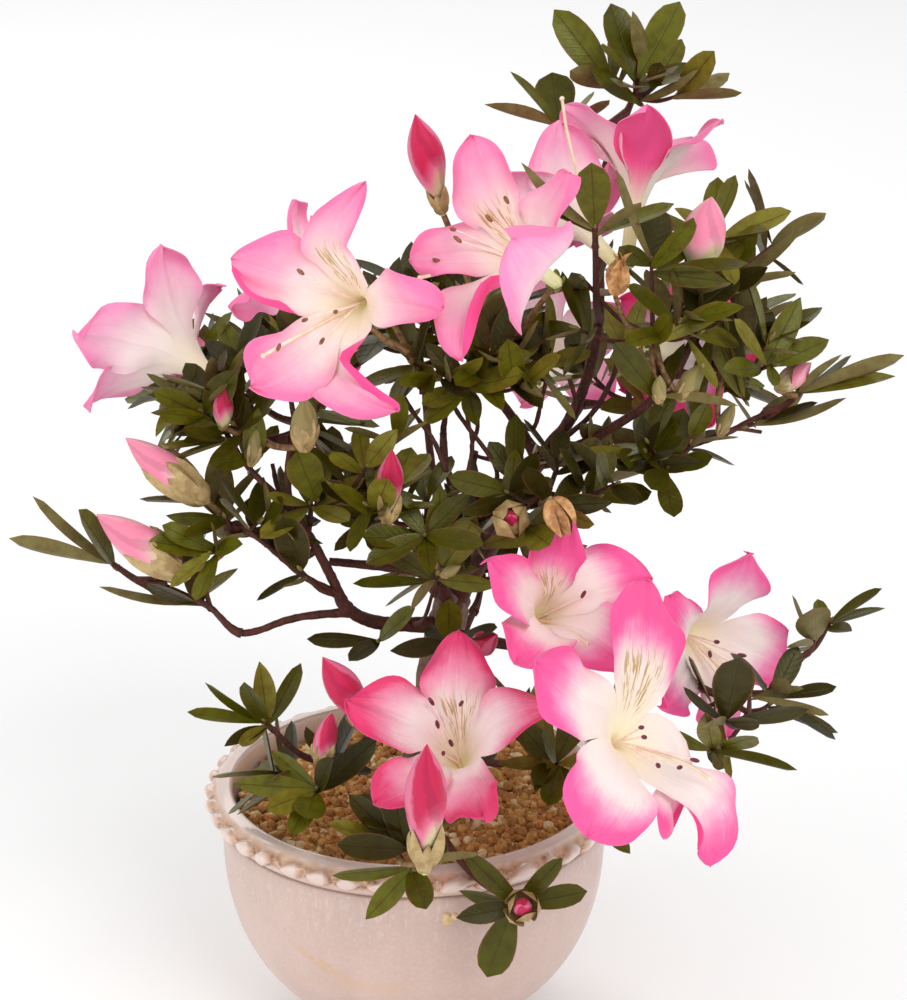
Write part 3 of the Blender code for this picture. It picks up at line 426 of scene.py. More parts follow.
# Bare twigs that show between the leaves: limb, radius in millimetres, and the pixels each runs
# through with how many millimetres back each lies
TWIGS = (
    ("bough_middle", 1.0, ((446, 470, -34), (435, 442, -32), (410, 410, -30), (395, 378, -28))),
    ("bough_middle", 0.9, ((462, 488, -28), (472, 450, -26), (467, 415, -24), (462, 385, -22))),
    ("bough_right", 1.0, ((496, 500, -26), (495, 465, -24), (457, 412, -20), (436, 370, -18))),
    ("bough_right", 1.9, ((489, 545, -18), (470, 515, -16), (467, 490, -14), (476, 452, -12))),
    ("bough_right", 0.9, ((476, 456, -16), (479, 425, -14), (474, 394, -12))),
    ("bough_right", 1.1, ((543, 452, -8), (560, 430, -6), (576, 404, -4), (571, 378, -2))),
    ("bough_right", 1.2, ((556, 446, -4), (590, 416, -2), (610, 384, 0), (621, 350, 2))),
    ("bough_inner", 0.9, ((532, 428, -14), (541, 400, -12), (547, 370, -10), (541, 340, -8))),
    ("bough_left_rising", 1.2, ((290, 445, -30), (293, 420, -28), (292, 400, -26))),
    ("bough_left_rising", 1.1, ((305, 556, -30), (309, 520, -28), (311, 480, -26),
        (307, 438, -24))),
    ("bough_left_rising", 1.0, ((290, 505, -26), (277, 490, -24), (271, 463, -22))),
    ("bough_back_left", 1.1, ((385, 490, -14), (362, 466, -12), (328, 438, -10))),
    ("trunk", 2.0, ((448, 598, -22), (424, 574, -20), (378, 565, -18), (330, 562, -16))),
    ("bough_left_reach", 0.9, ((211, 608, -22), (203, 578, -20), (204, 550, -18))),
    ("bough_left_middle", 0.9, ((266, 544, -28), (240, 530, -26), (222, 518, -24))),
    ("bough_right_low", 0.9, ((716, 436, 0), (735, 428, 2), (760, 432, 4))),
)
# The real length of the sprays' leaves in millimetres, and how a leaf that shows shorter leans
LEAF_LENGTHS = {
    "foliage_top": 29.0, "foliage_upper_middle": 29.0, "foliage_right_inner": 27.0,
    "foliage_top_right": 27.0, "foliage_right": 26.0, "foliage_right_shoot": 30.0,
    "foliage_left_shoot": 30.0, "foliage_front": 27.0, "foliage_rosette": 27.0,
    "foliage_skirt_right": 26.0,
}
USUAL_LENGTH = 22.0
LONG_LEAF = 22.0
SLIMMEST = (0.32, 0.26)
WIDEST = 0.66
SEEN_THIN = 0.2
LEANS = (0.85, 0.35)
DEEPEST_LEAN = 15.0
HANGING = 10
STEM_RADIUS = 1.5
HUB_DROP = 0.2
STEM_SHARES = (0.5, 0.7, 0.86)
STEM_VIAS = {"foliage_skirt_shoot": ((116, -14, 135), (132, -34, 153))}
TWIG_BOW = 0.08
TWIG_RADIUS = 0.95
TWIG_END_RADIUS = 0.62
TWIG_STEPS = 5
TWIG_SIDES = 6
TWIG_SPREAD = 0.62
TWIG_HIGHEST = 0.85
TWIG_HEIGHTS = 1.45
TWIG_REACHES = (0.7, 1.3)
TWIG_SAG = 0.12
SIDE_TWIG_SHARE = 0.5
SIDE_TWIG_LENGTH = 14.0
SIDE_TWIG_LENGTHS = (0.7, 1.2)
SIDE_TWIG_CHANCE = 0.4
SIDE_TWIG_SPREAD = (35.0, 60.0)
SIDE_TWIG_LIFT = 0.25
SIDE_TWIG_RADII = (0.65, 0.5, 0.2)
LEAF_BUD_SIZES = (2.5, 5.0)
LEAF_BUD_GIRTH = 0.4
LEAF_BUD_SINK = 0.8
LEAF_SINK = 0.6
LEAVES_A_WHORL = 6
LEAVES_A_SIDE_TWIG = 4
WHORL_LENGTH = 6.0
LEAF_SPREAD = (34.0, 80.0)
LEAF_SWERVE = 0.35
LEAF_LIFT = 0.12
FACING_LIFT = 0.6
LEAF_TRIES = (1.0, 0.84, 0.7)
LEAF_SIZES = (0.8, 1.15)
LEAF_REACH = 1.24
BOX_MARGIN = 2.0
TO_VIEWER = Vector((0.0, -0.9, 0.44))
SPRAY_CLIMB = 5.0
SPRAY_SHIFTS = (0.0, 7.0, -7.0, 14.0, -14.0)
BROAD_LEAF = 0.5
LEAF_ROWS = 9
BEND_TRIES = (0.0, 0.14, 0.28, 0.42, 0.6)
BEND_TURNS = 8
# The leaves' four tones and how often each is dealt out, with other shares high up and low down:
# painted light and shade, lighter tones dealt more often at the top of the crown and deeper ones low down
LEAF_TONES = ((72, 71, 2), (93, 94, 10), (52, 47, 6), (122, 117, 34))
LEAF_SHARES = (5, 4, 4, 2)
LIT_TOP_SHARES = (2, 5, 1, 4)
TOP_SPRAYS = 305.0
SHADED_LOW_SHARES = (5, 2, 3, 0)
LOW_SPRAYS = 165.0
SAME_TONE = {"whorl": 0.75, "spray": 0.5}

# Buds: mass each grows from, tip, base, width, colour and how far up its scales reach
BUDS = (
    ("foliage_inner", (2, -30, 352), (11, -24, 316), 12, "crimson", 0.24),
    ("foliage_top_right", (100, -34, 325), (96, -30, 298), 15, "blush", 0.16),
    ("foliage_left", (-97, -34, 240), (-70, -30, 215), 12, "blush", 0.6),
    ("foliage_left", (-108, -34, 212), (-77, -30, 187), 14, "blush", 0.52),
    ("foliage_rosette", (-30, -60, 170), (-13, -52, 137), 12, "crimson", 0.36),
    ("foliage_rosette", (-27, -62, 150), (-32, -54, 126), 8, "crimson", 0.45),
    ("foliage_front", (6, -124, 168), (5, -112, 115), 14, "crimson", 0.34),
    ("foliage_left_inner", (-6, -48, 241), (-8, -42, 211), 9, "crimson", 0.4),
    ("foliage_front_right", (30, -30, 165), (19, -24, 155), 9, "crimson", 0.15),
    ("foliage_right_shoot", (139, -2, 256), (127, 0, 245), 8, "blush", 0.5),
    ("foliage_left_top", (-63, -34, 259), (-64, -32, 242), 7, "crimson", 0.2),
    ("foliage_left_top", (-35, -46, 259), (-36, -42, 238), 9, "green", 0.6),
    ("foliage_left_top", (-52, -32, 244), (-55, -30, 228), 5, "green", 0.5),
    ("foliage_right_inner", (99, -34, 267), (91, -30, 252), 7, "green", 0.5),
    ("foliage_right_inner", (84, -38, 264), (84, -36, 253), 5, "green", 0.4),
    ("foliage_right", (112, -10, 244), (107, -8, 231), 5, "green", 0.4),
    ("foliage_middle", (17, -44, 197), (10, -41, 192), 4, "green", 0.4),
)
# Opening buds: mass, tip, base, core's width, then their scales' length, width, lean and finish
OPEN_BUDS = (
    ("foliage_hanging", (38, -100, 96), (38, -89, 89), 6.5, 11, 9, 34, "scale"),
    ("foliage_middle_right", (34, -60, 222), (34, -46, 214), 7.6, 15, 11, 14, "scale"),
    ("foliage_middle_right", (53, -66, 218), (47, -60, 228), 0.0, 14, 4.6, 20, "scale_dry"),
    ("foliage_right_inner", (70, -52, 312), (68, -48, 295), 0.0, 18, 2.2, 3, "scale_dry"),
)
# Buds' outlines: where they are fullest and how blunt; a crimson bud above a width is slim
SLIM_WIDTH = 8
BUD_FORMS = {"slim": (1.3, 1.0), "full": (0.95, 0.85)}
SCALE_ARCH = 0.1
SCALE_SWERVE = (-0.2, 0.2)
BUD_SIDES = 20
BUD_ROWS = 14
BUD_SINK = 0.12
# Two turns in radians, so that two edges of petals wrap a bud
BUD_WRAPS = 12.566
BUD_STALK = (1.3, 1.0, 0.2)
CUP_STALK_RADIUS = 0.9
SCALE_LENGTHS = (0.85, 1.1)
SCALE_WIDTHS = (0.36, 0.7)
CUP_LENGTHS = (0.85, 1.05)
CUP_LEANS = (0.8, 1.25)

# Camera, in millimetres and degrees, and light, in metres and watts
VIEW_RADIUS = 66.5
VIEW_DISTANCE = 18.0 * VIEW_RADIUS
VIEW_ELEVATION = 26.3671
VIEW_PITCH = 21.4653
VIEW_ASIDE = 0.219 * VIEW_RADIUS
LENS = 117.166
SENSOR = 36.0
PHOTO_SIZE = (907, 1000)
LIGHTS = (("key", (0.9, -1.6, 1.7), 1.3, 23.0), ("fill", (-1.5, -1.1, 0.9), 1.4, 9.0),
          ("back", (-0.5, 1.4, 1.5), 1.2, 9.0))
LIGHTS_AIM = (0.0, 0.0, 0.2)
SKY_STRENGTH = 0.74
FLOOR_SIZE = 30.0


def colour(red, green, blue):
    """A colour from its 0 to 255 screen values."""
    shares = [value / 255.0 for value in (red, green, blue)]
    linear = [v / 12.92 if v <= 0.04045 else ((v + 0.055) / 1.055) ** 2.4 for v in shares]
    return (*linear, 1.0)


class Socket:
    """A shader value that takes part in Python arithmetic."""

    def __init__(self, finish, socket):
        self.finish = finish
        self.socket = socket

    def maths(self, operation, other=None, swapped=False):
        terms = (other, self) if swapped else (self, other)
        inputs = {i: term for i, term in enumerate(terms) if term is not None}
        return self.finish.node("ShaderNodeMath", {"operation": operation}, inputs, "Value")

    def __add__(self, other):
        return self.maths("ADD", other)

    def __sub__(self, other):
        return self.maths("SUBTRACT", other)

    def __rsub__(self, other):
        return self.maths("SUBTRACT", other, True)

    def __mul__(self, other):
        return self.maths("MULTIPLY", other)

    def __truediv__(self, other):
        return self.maths("DIVIDE", other)

    def __pow__(self, other):
        return self.maths("POWER", other)

    __radd__ = __add__
    __rmul__ = __mul__

    def between(self, low, high):
        """0 below low, 1 above high and a soft rise between them."""
        inputs = {"Value": self, "From Min": low, "From Max": high}
        settings = {"interpolation_type": "SMOOTHSTEP"}
        return self.finish.node("ShaderNodeMapRange", settings, inputs, "Result")


class Finish:
    """A material on a Principled shader, with methods that add its nodes."""

    def __init__(self, name, roughness=0.5, **uniform):
        self.material = bpy.data.materials.new(name)
        self.material.use_nodes = True
        self.tree = self.material.node_tree
        self.shader = self.tree.nodes["Principled BSDF"]
        self.set(Roughness=roughness, **uniform)

    def node(self, kind, settings, inputs, output):
        made = self.tree.nodes.new(kind)
        for key, value in settings.items():
            setattr(made, key, value)
        for key, value in inputs.items():
            if isinstance(value, Socket):
                self.tree.links.new(value.socket, made.inputs[key])
            else:
                made.inputs[key].default_value = value
        return Socket(self, made.outputs[output])

    def set(self, **inputs):
        """Values or links of the shader's own sockets, with _ for a blank in their names."""
        for key, value in inputs.items():
            socket = self.shader.inputs[key.replace("_", " ")]
            if isinstance(value, Socket):
                self.tree.links.new(value.socket, socket)
            else:
                socket.default_value = value

    def place(self):
        return self.node("ShaderNodeTexCoord", {}, {}, "Object")

    def grid(self):
        return self.node("ShaderNodeUVMap", {}, {}, "UV")

    def part(self, vector, axis):
        return self.node("ShaderNodeSeparateXYZ", {}, {0: vector}, axis)

    def along(self):
        """The two parts of the piece's own UV map."""
        grid = self.grid()
        return [self.part(grid, axis) for axis in "XY"]

    def mark(self, name):
        """A value that the piece's mesh holds for each of its points."""
        return self.node("ShaderNodeAttribute", {"attribute_name": name}, {}, "Fac")

    def stretched(self, vector, scale):
        return self.node("ShaderNodeMapping", {}, {"Vector": vector, "Scale": scale}, "Vector")

    def noise(self, vector, scale, detail=3.0, roughness=0.55):
        inputs = {"Vector": vector, "Scale": scale, "Detail": detail, "Roughness": roughness}
        return self.node("ShaderNodeTexNoise", {}, inputs, "Fac")

    def cells(self, vector, scale, feature="F1"):
        inputs = {"Vector": vector, "Scale": scale}
        return self.node("ShaderNodeTexVoronoi", {"feature": feature}, inputs, "Distance")

    def mix(self, share, first, second):
        settings = {"data_type": "RGBA", "clamp_factor": True}
        return self.node("ShaderNodeMix", settings, {0: share, 6: first, 7: second}, 2)

    def layered(self, tone, *layers):
        """A base tone with others laid over it in turn, each by its share."""
        for share, over in layers:
            tone = self.mix(share, tone, over)
        return tone

    def relief(self, height, distance, strength=1.0):
        inputs = {"Height": height, "Distance": distance, "Strength": strength}
        self.set(Normal=self.node("ShaderNodeBump", {}, inputs, "Normal"))


def glaze_finish():
    """Satin off-white glaze: faint speckle, grey streaks and tan stains in the crimped band, with painted
    light on the band, lip and inner wall.
    """
    made = Finish("glaze", 0.38, Coat_Roughness=0.12)
    place = made.place()
    stain = made.mark("stain")
    height = made.part(place, "Z")
    aside = made.part(place, "X") - STREAK_PLACE[0]
    speckle = 1.0 - made.cells(place, 640.0).between(0.2, 0.62)
    cloud = made.noise(place, 24.0, 4.0)
    under_band = height.between(0.052, 0.08) * (1.0 - height.between(0.082, 0.084))
    grey = made.noise(made.stretched(place, (1.0, 1.0, 0.14)), 520.0, 3.0).between(0.42, 0.62)
    pale = made.noise(made.stretched(place, (1.0, 1.0, 0.3)), 700.0, 2.0).between(0.55, 0.7)
    warm = made.noise(made.stretched(place, (1.0, 1.0, 2.4)), 19.0, 2.0).between(0.6, 0.76)
    specks = 1.0 - made.cells(place, 190.0).between(0.035, 0.06)
    mottle = made.noise(place, 420.0, 4.0).between(0.36, 0.56)
    drop = (height - STREAK_PLACE[1] + aside * 0.45 + (cloud - 0.5) * 0.008) / STREAK_SIZE[1]
    streak = 1.0 - (aside * aside / STREAK_SIZE[0] ** 2 + drop * drop).between(0.0, 1.0)
    tone = made.layered(
        colour(210, 183, 172),
        (cloud.between(0.35, 0.7), colour(200, 171, 161)),
        (speckle * 0.16, colour(228, 207, 199)),
        (grey * under_band * 0.35, colour(190, 172, 163)),
        (pale * under_band * 0.35, colour(232, 214, 208)),
        (warm * 0.3, colour(212, 172, 130)),
        (specks * 0.6, colour(110, 88, 78)),
        (streak * mottle * 0.55, colour(208, 166, 118)),
        # Painted light: the band, lip and inner wall above the band's foot are lightened, lifting their
        # shade and painting highlights on the lumps.
        (height.between(BAND_FOOT, 0.0915) * 0.6, colour(240, 218, 205)),
        ((stain ** 0.5) * 0.95, colour(200, 146, 98)),
        (stain.between(0.4, 0.8) * mottle * 0.95, colour(116, 72, 42)),
        (made.mark("line") * 0.85, colour(128, 82, 58)))
    band = height.between(BAND_FOOT, 0.086)
    made.set(Base_Color=tone, Roughness=0.32 + cloud * 0.16 - band * 0.12,
             Coat_Weight=0.2 + band * 0.6)
    made.relief(made.noise(place, 900.0, 2.0) + speckle * 0.4, 0.0001, 0.5)
    return made.material


def soil_finish(name, light, dark):
    """Porous grain: mottled from light to dark, with a rough matt face."""
    made = Finish(name, 0.9)
    place = made.place()
    mottle = made.noise(place, 700.0, 4.0, 0.65)
    patch = made.noise(place, 160.0, 2.0).between(0.35, 0.65)
    tone = made.layered(colour(*light), (mottle.between(0.3, 0.7), colour(*dark)),
                        (patch * 0.15, colour(110, 72, 40)))
    made.set(Base_Color=tone, Roughness=0.8 + mottle * 0.15)
    made.relief(mottle, 0.0004, 0.8)
    return made.material


def bark_finish(name, light, dark, speck):
    """Thin flaking bark with furrows along the limb and pale corky specks."""
    made = Finish(name, 0.72)
    place = made.place()
    furrow = made.noise(made.stretched(place, (1.0, 1.0, 0.35)), 520.0, 5.0, 0.7)
    patch = made.noise(place, 120.0, 3.0).between(0.4, 0.66)
    specks = made.cells(place, 900.0).between(0.0, 0.3)
    tone = made.layered(colour(*dark), (furrow.between(0.3, 0.7), colour(*light)),
                        (patch * 0.35, colour(*light)), ((1.0 - specks) * 0.55, colour(*speck)))
    made.set(Base_Color=tone, Roughness=0.6 + furrow * 0.25)
    made.relief(furrow - specks * 0.25, 0.0005, 0.8)
    return made.material


def leaf_finish(name, tone, rib, gloss):
    """Leathery leaf: a fine midrib, side veins, a thin russet margin and a soft mottle."""
    made = Finish(name, gloss, Specular_IOR_Level=0.36, Specular_Tint=(0.96, 1.0, 0.66, 1.0))
    place = made.place()
    across, along = made.along()
    away = (across - 0.5).maths("ABSOLUTE") * 2.0
    midrib = 1.0 - away.between(0.015, 0.07)
    veins = ((along - away * 0.16) * 55.0).maths("SINE").between(0.55, 1.0)
    mottle = made.noise(place, 240.0, 3.0)
    grain = made.noise(place, 1400.0, 2.0)
    base = colour(*tone)
    dark = (0.78 * base[0], 0.64 * base[1], 0.6 * base[2], 1.0)
    tone = made.layered(base, (mottle.between(0.35, 0.7), dark), (midrib * 0.45, colour(*rib)),
                        (away.between(0.86, 0.98) * 0.4, colour(136, 80, 46)))
    made.set(Base_Color=tone, Roughness=gloss + mottle * 0.18)
    made.relief(veins * 0.22 - midrib * 1.0 + mottle * 0.5 + grain * 0.5, 0.0002, 0.8)
    return made.material


def petal_finish(name, margin, blush, pale, start, reaches, flecked=False):
    """Thin petal: deep margin, pale heart, cream throat, olive flecks where it has them, and a painted
    glow in the tube and throat.
    """
    made = Finish(name, 0.5, Specular_IOR_Level=0.3, Sheen_Weight=0.1, Sheen_Roughness=0.5,
                  Subsurface_Weight=0.35, Subsurface_Radius=(1.0, 0.5, 0.55),
                  Subsurface_Scale=0.003, Emission_Strength=0.2)
    across, along = made.along()
    grid = made.grid()
    place = made.place()
    along = (1.0 - (1.0 - along) ** TIP_CROWDING) * (1.0 + TUBE_SHARE) - TUBE_SHARE
    away = (across - 0.5).maths("ABSOLUTE") * 2.0
    cloud = made.noise(place, 62.0, 3.0)
    fine = made.noise(place, 330.0, 2.0)
    fibre = made.noise(made.stretched(grid, (42.0, 3.0, 1.0)), 1.0, 2.0)
    rise = along.between(start, 1.02) * 0.8
    rise = rise + away * away * away * along.between(0.22, 0.62) * 0.38
    rise = rise + (cloud - 0.5) * 0.42 + (fibre - 0.5) * 0.2 + (fine - 0.5) * 0.1
    blush_low, blush_high, margin_low, margin_high = reaches
    throat = 1.0 - (along - away * 0.06 + (fibre - 0.5) * 0.12).between(0.04, 0.46)
    tone = made.layered(colour(*pale), (rise.between(blush_low, blush_high), colour(*blush)),
                        (rise.between(margin_low, margin_high), colour(*margin)),
                        (throat * 0.85, colour(246, 230, 200)),
                        (1.0 - along.between(-0.25, 0.08), colour(232, 226, 166)))
    if flecked:
        dots = made.noise(made.stretched(grid, (26.0, 9.0, 1.0)), 1.0, 2.0).between(0.52, 0.6)
        field = along.between(0.12, 0.24) * (1.0 - along.between(0.44, 0.66))
        field = field * (1.0 - away.between(0.5, 0.8)) * away.between(0.03, 0.1)
        tone = made.layered(tone, (field * 0.4, colour(236, 214, 178)),
                            (dots * field * 0.85, colour(168, 142, 74)))
    # Painted light: the tube and throat glow faintly, standing in for light through the thin petal and
    # lifting the shade in the funnel.
    painted_throat_glow = made.mix(1.0 - along.between(-0.1, 0.3), (0.0, 0.0, 0.0, 1.0), colour(232, 222, 166))
    made.set(Base_Color=tone, Roughness=0.42 + fibre * 0.2, Emission_Color=painted_throat_glow)
    made.relief(fibre + fine * 0.6 + (1.0 - away.between(0.0, 0.06)) * 0.8, 0.0002, 0.6)
    return made.material


def bud_finish(name, tip, flank, foot):
    """Furled petals: bright tip, paler edges where they wrap, a cream to olive foot, and a painted shade
    line along the seams where they overlap.
    """
    made = Finish(name, 0.5, Specular_IOR_Level=0.35, Sheen_Weight=0.1)
    around, along = made.along()
    place = made.place()
    cloud = made.noise(place, 180.0, 3.0)
    turns = around + along * 0.3 + (cloud - 0.5) * 0.14
    wrap = (turns * BUD_WRAPS).maths("SINE") * 0.5 + 0.5
    rise = along + wrap * 0.2 - 0.1 + (cloud - 0.5) * 0.16
    upper = rise.between(0.36, 0.56) * (1.0 - wrap.between(0.7, 0.98) * 0.75)
    # Painted shade: a darker line in the tip's colour along the seams where one furled petal wraps over
    # the next.
    line = wrap.between(0.02, 0.1) * 0.3 + 0.7
    tone = made.layered(colour(*foot), (rise.between(0.26, 0.46), colour(*flank)),
                        (upper, colour(*tip)),
                        (1.0 - line, colour(*(0.62 * part for part in tip))))
    made.set(Base_Color=tone, Roughness=0.42 + cloud * 0.2)
    made.relief(cloud + wrap * 0.5, 0.0002, 0.6)
    return made.material


def plain_finish(name, light, dark, roughness, scale, bump=0.0001, **uniform):
    """Small organs: two close tones in a fine mottle."""
    made = Finish(name, roughness, **uniform)
    mottle = made.noise(made.place(), scale, 3.0)
    made.set(Base_Color=made.mix(mottle.between(0.35, 0.65), colour(*light), colour(*dark)),
             Roughness=roughness - 0.08 + mottle * 0.16)
    made.relief(mottle, bump, 0.6)
    return made.material


def deselect():
    if bpy.context.object and bpy.context.object.mode == "EDIT":
        bpy.ops.object.mode_set(mode="OBJECT")
    bpy.ops.object.select_all(action="DESELECT")


def hold(piece):
    """Make one piece the selected and active one."""
    deselect()
    piece.select_set(True)
    bpy.context.view_layer.objects.active = piece
    return piece


def added(name, operator, **settings):
    """A new primitive at its size and place, with its place in its mesh."""
    deselect()
    operator(**settings)
    piece = bpy.context.object
    piece.name = name
    bpy.ops.object.transform_apply(location=True, rotation=True, scale=True)
    return piece


@contextmanager
def editing(piece):
    """Edit mode on one piece, all of it selected at first."""
    hold(piece)
    bpy.ops.object.mode_set(mode="EDIT")
    bpy.ops.mesh.select_all(action="SELECT")
    yield
    bpy.ops.object.mode_set(mode="OBJECT")


def pick(piece, test):
    """In edit mode, select only the points that pass a test on their place."""
    bpy.ops.mesh.select_mode(type="VERT")
    bpy.ops.mesh.select_all(action="DESELECT")
    bpy.ops.object.mode_set(mode="OBJECT")
    for vert in piece.data.vertices:
        vert.select = test(vert.co)
    bpy.ops.object.mode_set(mode="EDIT")


def drawn_up(name, rings, sides):
    """A closed body drawn up ring by ring from a filled circle: centre and radius of each."""
    centre, radius = rings[0]
    piece = added(name, bpy.ops.mesh.primitive_circle_add, vertices=sides, radius=radius,
                  fill_type="NGON", location=centre)
    with editing(piece):
        for upper, wider in rings[1:]:
            bpy.ops.mesh.extrude_region_move(TRANSFORM_OT_translate={"value": upper - centre})
            share = wider / radius
            bpy.ops.transform.resize(value=(share, share, 1.0), center_override=upper)
            centre, radius = upper, wider
        bpy.ops.mesh.select_all(action="SELECT")
        bpy.ops.mesh.normals_make_consistent(inside=False)
    return piece


def modified(piece, kind, **settings):
    """Add a modifier with its settings and apply it."""
    hold(piece)
    made = piece.modifiers.new(kind.title(), kind)
    for key, value in settings.items():
        setattr(made, key, value)
    bpy.ops.object.modifier_apply(modifier=made.name)


def roughened(piece, name, reliefs):
    """Press cloudy textures into a piece's own mesh: kind, size and depth of each."""
    for kind, scale, strength in reliefs:
        texture = bpy.data.textures.new(f"{name}_{kind.lower()}", kind)
        texture.noise_scale = scale
        modified(piece, "DISPLACE", texture=texture, strength=strength, mid_level=0.5,
                 texture_coords="LOCAL")


def smooth(piece, angle=SMOOTH_ANGLE):
    hold(piece)
    bpy.ops.object.shade_smooth_by_angle(angle=math.radians(angle))


def done(piece, finishes=(), stands_for=()):
    """Scale a finished piece to metres, give it its finish and let it ride on the plant."""
    piece.data.transform(Matrix.Scale(MM, 4))
    for finish in finishes:
        piece.data.materials.append(finish)
    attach(piece, "root")
    if stands_for:
        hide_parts(*stands_for)
    return piece


def smooth_path(points, steps):
    """Points on a smooth curve through the given ones."""
    knots = [Vector(point) for point in points]
    knots = [2 * knots[0] - knots[1]] + knots + [2 * knots[-1] - knots[-2]]
    path = []
    for a, b, c, d in zip(knots, knots[1:], knots[2:], knots[3:]):
        for step in range(steps):
            t = step / steps
            path.append(0.5 * (2 * b + (c - a) * t + (2 * a - 5 * b + 4 * c - d) * t * t
                               + (3 * b - a - 3 * c + d) * t * t * t))
    return path + [knots[-2]]


def point_along(path, share):
    """The point at a share of a path's length, and the direction there."""
    lengths = [(b - a).length for a, b in zip(path, path[1:])]
    left = share * sum(lengths)
    for (a, b), length in zip(zip(path, path[1:]), lengths):
        if left <= length:
            return a.lerp(b, left / length), (b - a).normalized()
        left -= length
    return path[-1].copy(), (path[-1] - path[-2]).normalized()


def bowed(start, end, bend, turn, sag=0.0, steps=TWIG_STEPS):
    """A path from start to end that bows aside, and sags, by shares of its length."""
    along = (end - start).normalized()
    side = along.orthogonal().normalized()
    side = Matrix.Rotation(turn, 3, along) @ side
    middle = start.lerp(end, 0.5) + (side * bend - UP * sag) * (end - start).length
    return smooth_path((start, middle, end), steps)


def limb_radii(path, start, end, swell=FORK_SWELL):
    """Radii along a limb: an even taper, a swelling at its fork and small knots."""
    total = sum((b - a).length for a, b in zip(path, path[1:]))
    radii = []
    walked = 0.0
    for i, point in enumerate(path):
        if i:
            walked += (point - path[i - 1]).length
        radius = start + (end - start) * walked / total
        fork = 1.0 + swell * math.exp(-walked / FORK_REACH)
        knot = 1.0 + KNOT_SWELL * noise.noise(point / KNOT_SPACING * 2.0)
        radii.append(radius * fork * knot)
    return radii


def tubes(name, runs, sides):
    """Round tubes along paths, each a path and its radii, as one curve made a mesh."""
    deselect()
    curve = bpy.data.curves.new(name, "CURVE")
    curve.dimensions = "3D"
    curve.bevel_depth = 1.0
    curve.bevel_resolution = (sides - 4) // 2
    curve.use_fill_caps = True
    for path, radii in runs:
        spline = curve.splines.new("POLY")
        spline.points.add(len(path) - 1)
        for knot, point, radius in zip(spline.points, path, radii):
            knot.co = (*point, 1.0)
            knot.radius = radius
    piece = bpy.data.objects.new(name, curve)
    bpy.context.scene.collection.objects.link(piece)
    hold(piece)
    bpy.ops.object.convert(target="MESH")
    return bpy.context.object


class Pattern:
    """A small modelled shape that is copied many times."""

    def __init__(self, piece):
        mesh = piece.data
        self.points = np.array([vert.co[:] for vert in mesh.vertices])
        self.counts = np.array([len(face.vertices) for face in mesh.polygons])
        self.corners = np.array([v for face in mesh.polygons for v in face.vertices])
        self.finish = np.array([face.material_index for face in mesh.polygons])
        layer = mesh.uv_layers.active
        self.uv = np.array([loop.uv[:] for loop in layer.data]) if layer else None
        bpy.data.objects.remove(piece, do_unlink=True)


def copies(name, placings, sharp=SMOOTH_ANGLE):
    """One mesh of many copied shapes: (pattern, 4x4 matrix) for each copy."""
    points, counts, corners, finish, uv = [], [], [], [], []
    start = 0
    for pattern, matrix in placings:
        matrix = np.array(matrix)
        points.append(pattern.points @ matrix[:3, :3].T + matrix[:3, 3])
        counts.append(pattern.counts)
        corners.append(pattern.corners + start)
        finish.append(pattern.finish)
        uv.append(pattern.uv)
        start += len(pattern.points)
    points, counts, corners = (np.concatenate(rows) for rows in (points, counts, corners))
    mesh = bpy.data.meshes.new(name)
    mesh.vertices.add(len(points))
    mesh.vertices.foreach_set("co", points.ravel())
    mesh.loops.add(len(corners))
    mesh.loops.foreach_set("vertex_index", corners)
    mesh.polygons.add(len(counts))
    mesh.polygons.foreach_set("loop_start", np.concatenate(([0], np.cumsum(counts)[:-1])))
    mesh.polygons.foreach_set("material_index", np.concatenate(finish))
    if uv[0] is not None:
        mesh.uv_layers.new(name="UVMap").data.foreach_set("uv", np.concatenate(uv).ravel())
    mesh.update(calc_edges=True)
    mesh.validate()
    mesh.shade_smooth()
    mesh.set_sharp_from_angle(angle=math.radians(sharp))
    piece = bpy.data.objects.new(name, mesh)
    bpy.context.scene.collection.objects.link(piece)
    return piece


def seen_at(x, y, back):
    """The place in millimetres that shows at a pixel of the photo, so far back."""
    pitch = math.radians(VIEW_PITCH)
    rise = math.radians(VIEW_ELEVATION)
    focus = LENS / SENSOR * PHOTO_SIZE[1]
    right = (x - PHOTO_SIZE[0] / 2.0) / focus
    up = (PHOTO_SIZE[1] / 2.0 - y) / focus
    reach = (back + VIEW_DISTANCE * math.cos(rise)) / (math.cos(pitch) + up * math.sin(pitch))
    return (VIEW_ASIDE + right * reach, back,
            POT_HEIGHT + VIEW_DISTANCE * math.sin(rise) + (up * math.cos(pitch) - math.sin(pitch)) * reach)


def whole(point):
    """A place in whole millimetres."""
    return tuple(round(value) for value in point)


def seen_leaves(parent, middle, leaves):
    """Each leaf's tip, width in hundredths of its length and turn in degrees, from how it shows."""
    centre = seen_at(*middle)
    length = LEAF_LENGTHS.get(parent, USUAL_LENGTH)
    found = []
    for k, (x, y, width, under) in enumerate(leaves):
        pixels = math.dist((x, y), middle[:2])
        shown = math.dist(seen_at(x, y, middle[2]), centre)
        lean = LEANS[width / pixels < SEEN_THIN] * math.sqrt(max(0.0, length ** 2 - shown ** 2))
        lean = min(DEEPEST_LEAN, lean)
        nearer = y > middle[1] + HANGING or k % 2 == 0
        tip = seen_at(x, y, middle[2] - lean if nearer else middle[2] + lean)
        seen = width * shown / pixels / math.dist(tip, centre)
        slim = min(WIDEST, max(seen, SLIMMEST[shown > LONG_LEAF]))
        turn = math.degrees(math.acos(min(1.0, seen / slim)))
        turn = 180.0 - turn if under else turn
        turn = turn if (x + y) % 2 else -turn
        found.append((*whole(tip), round(slim * 100), round(turn)))
    return found


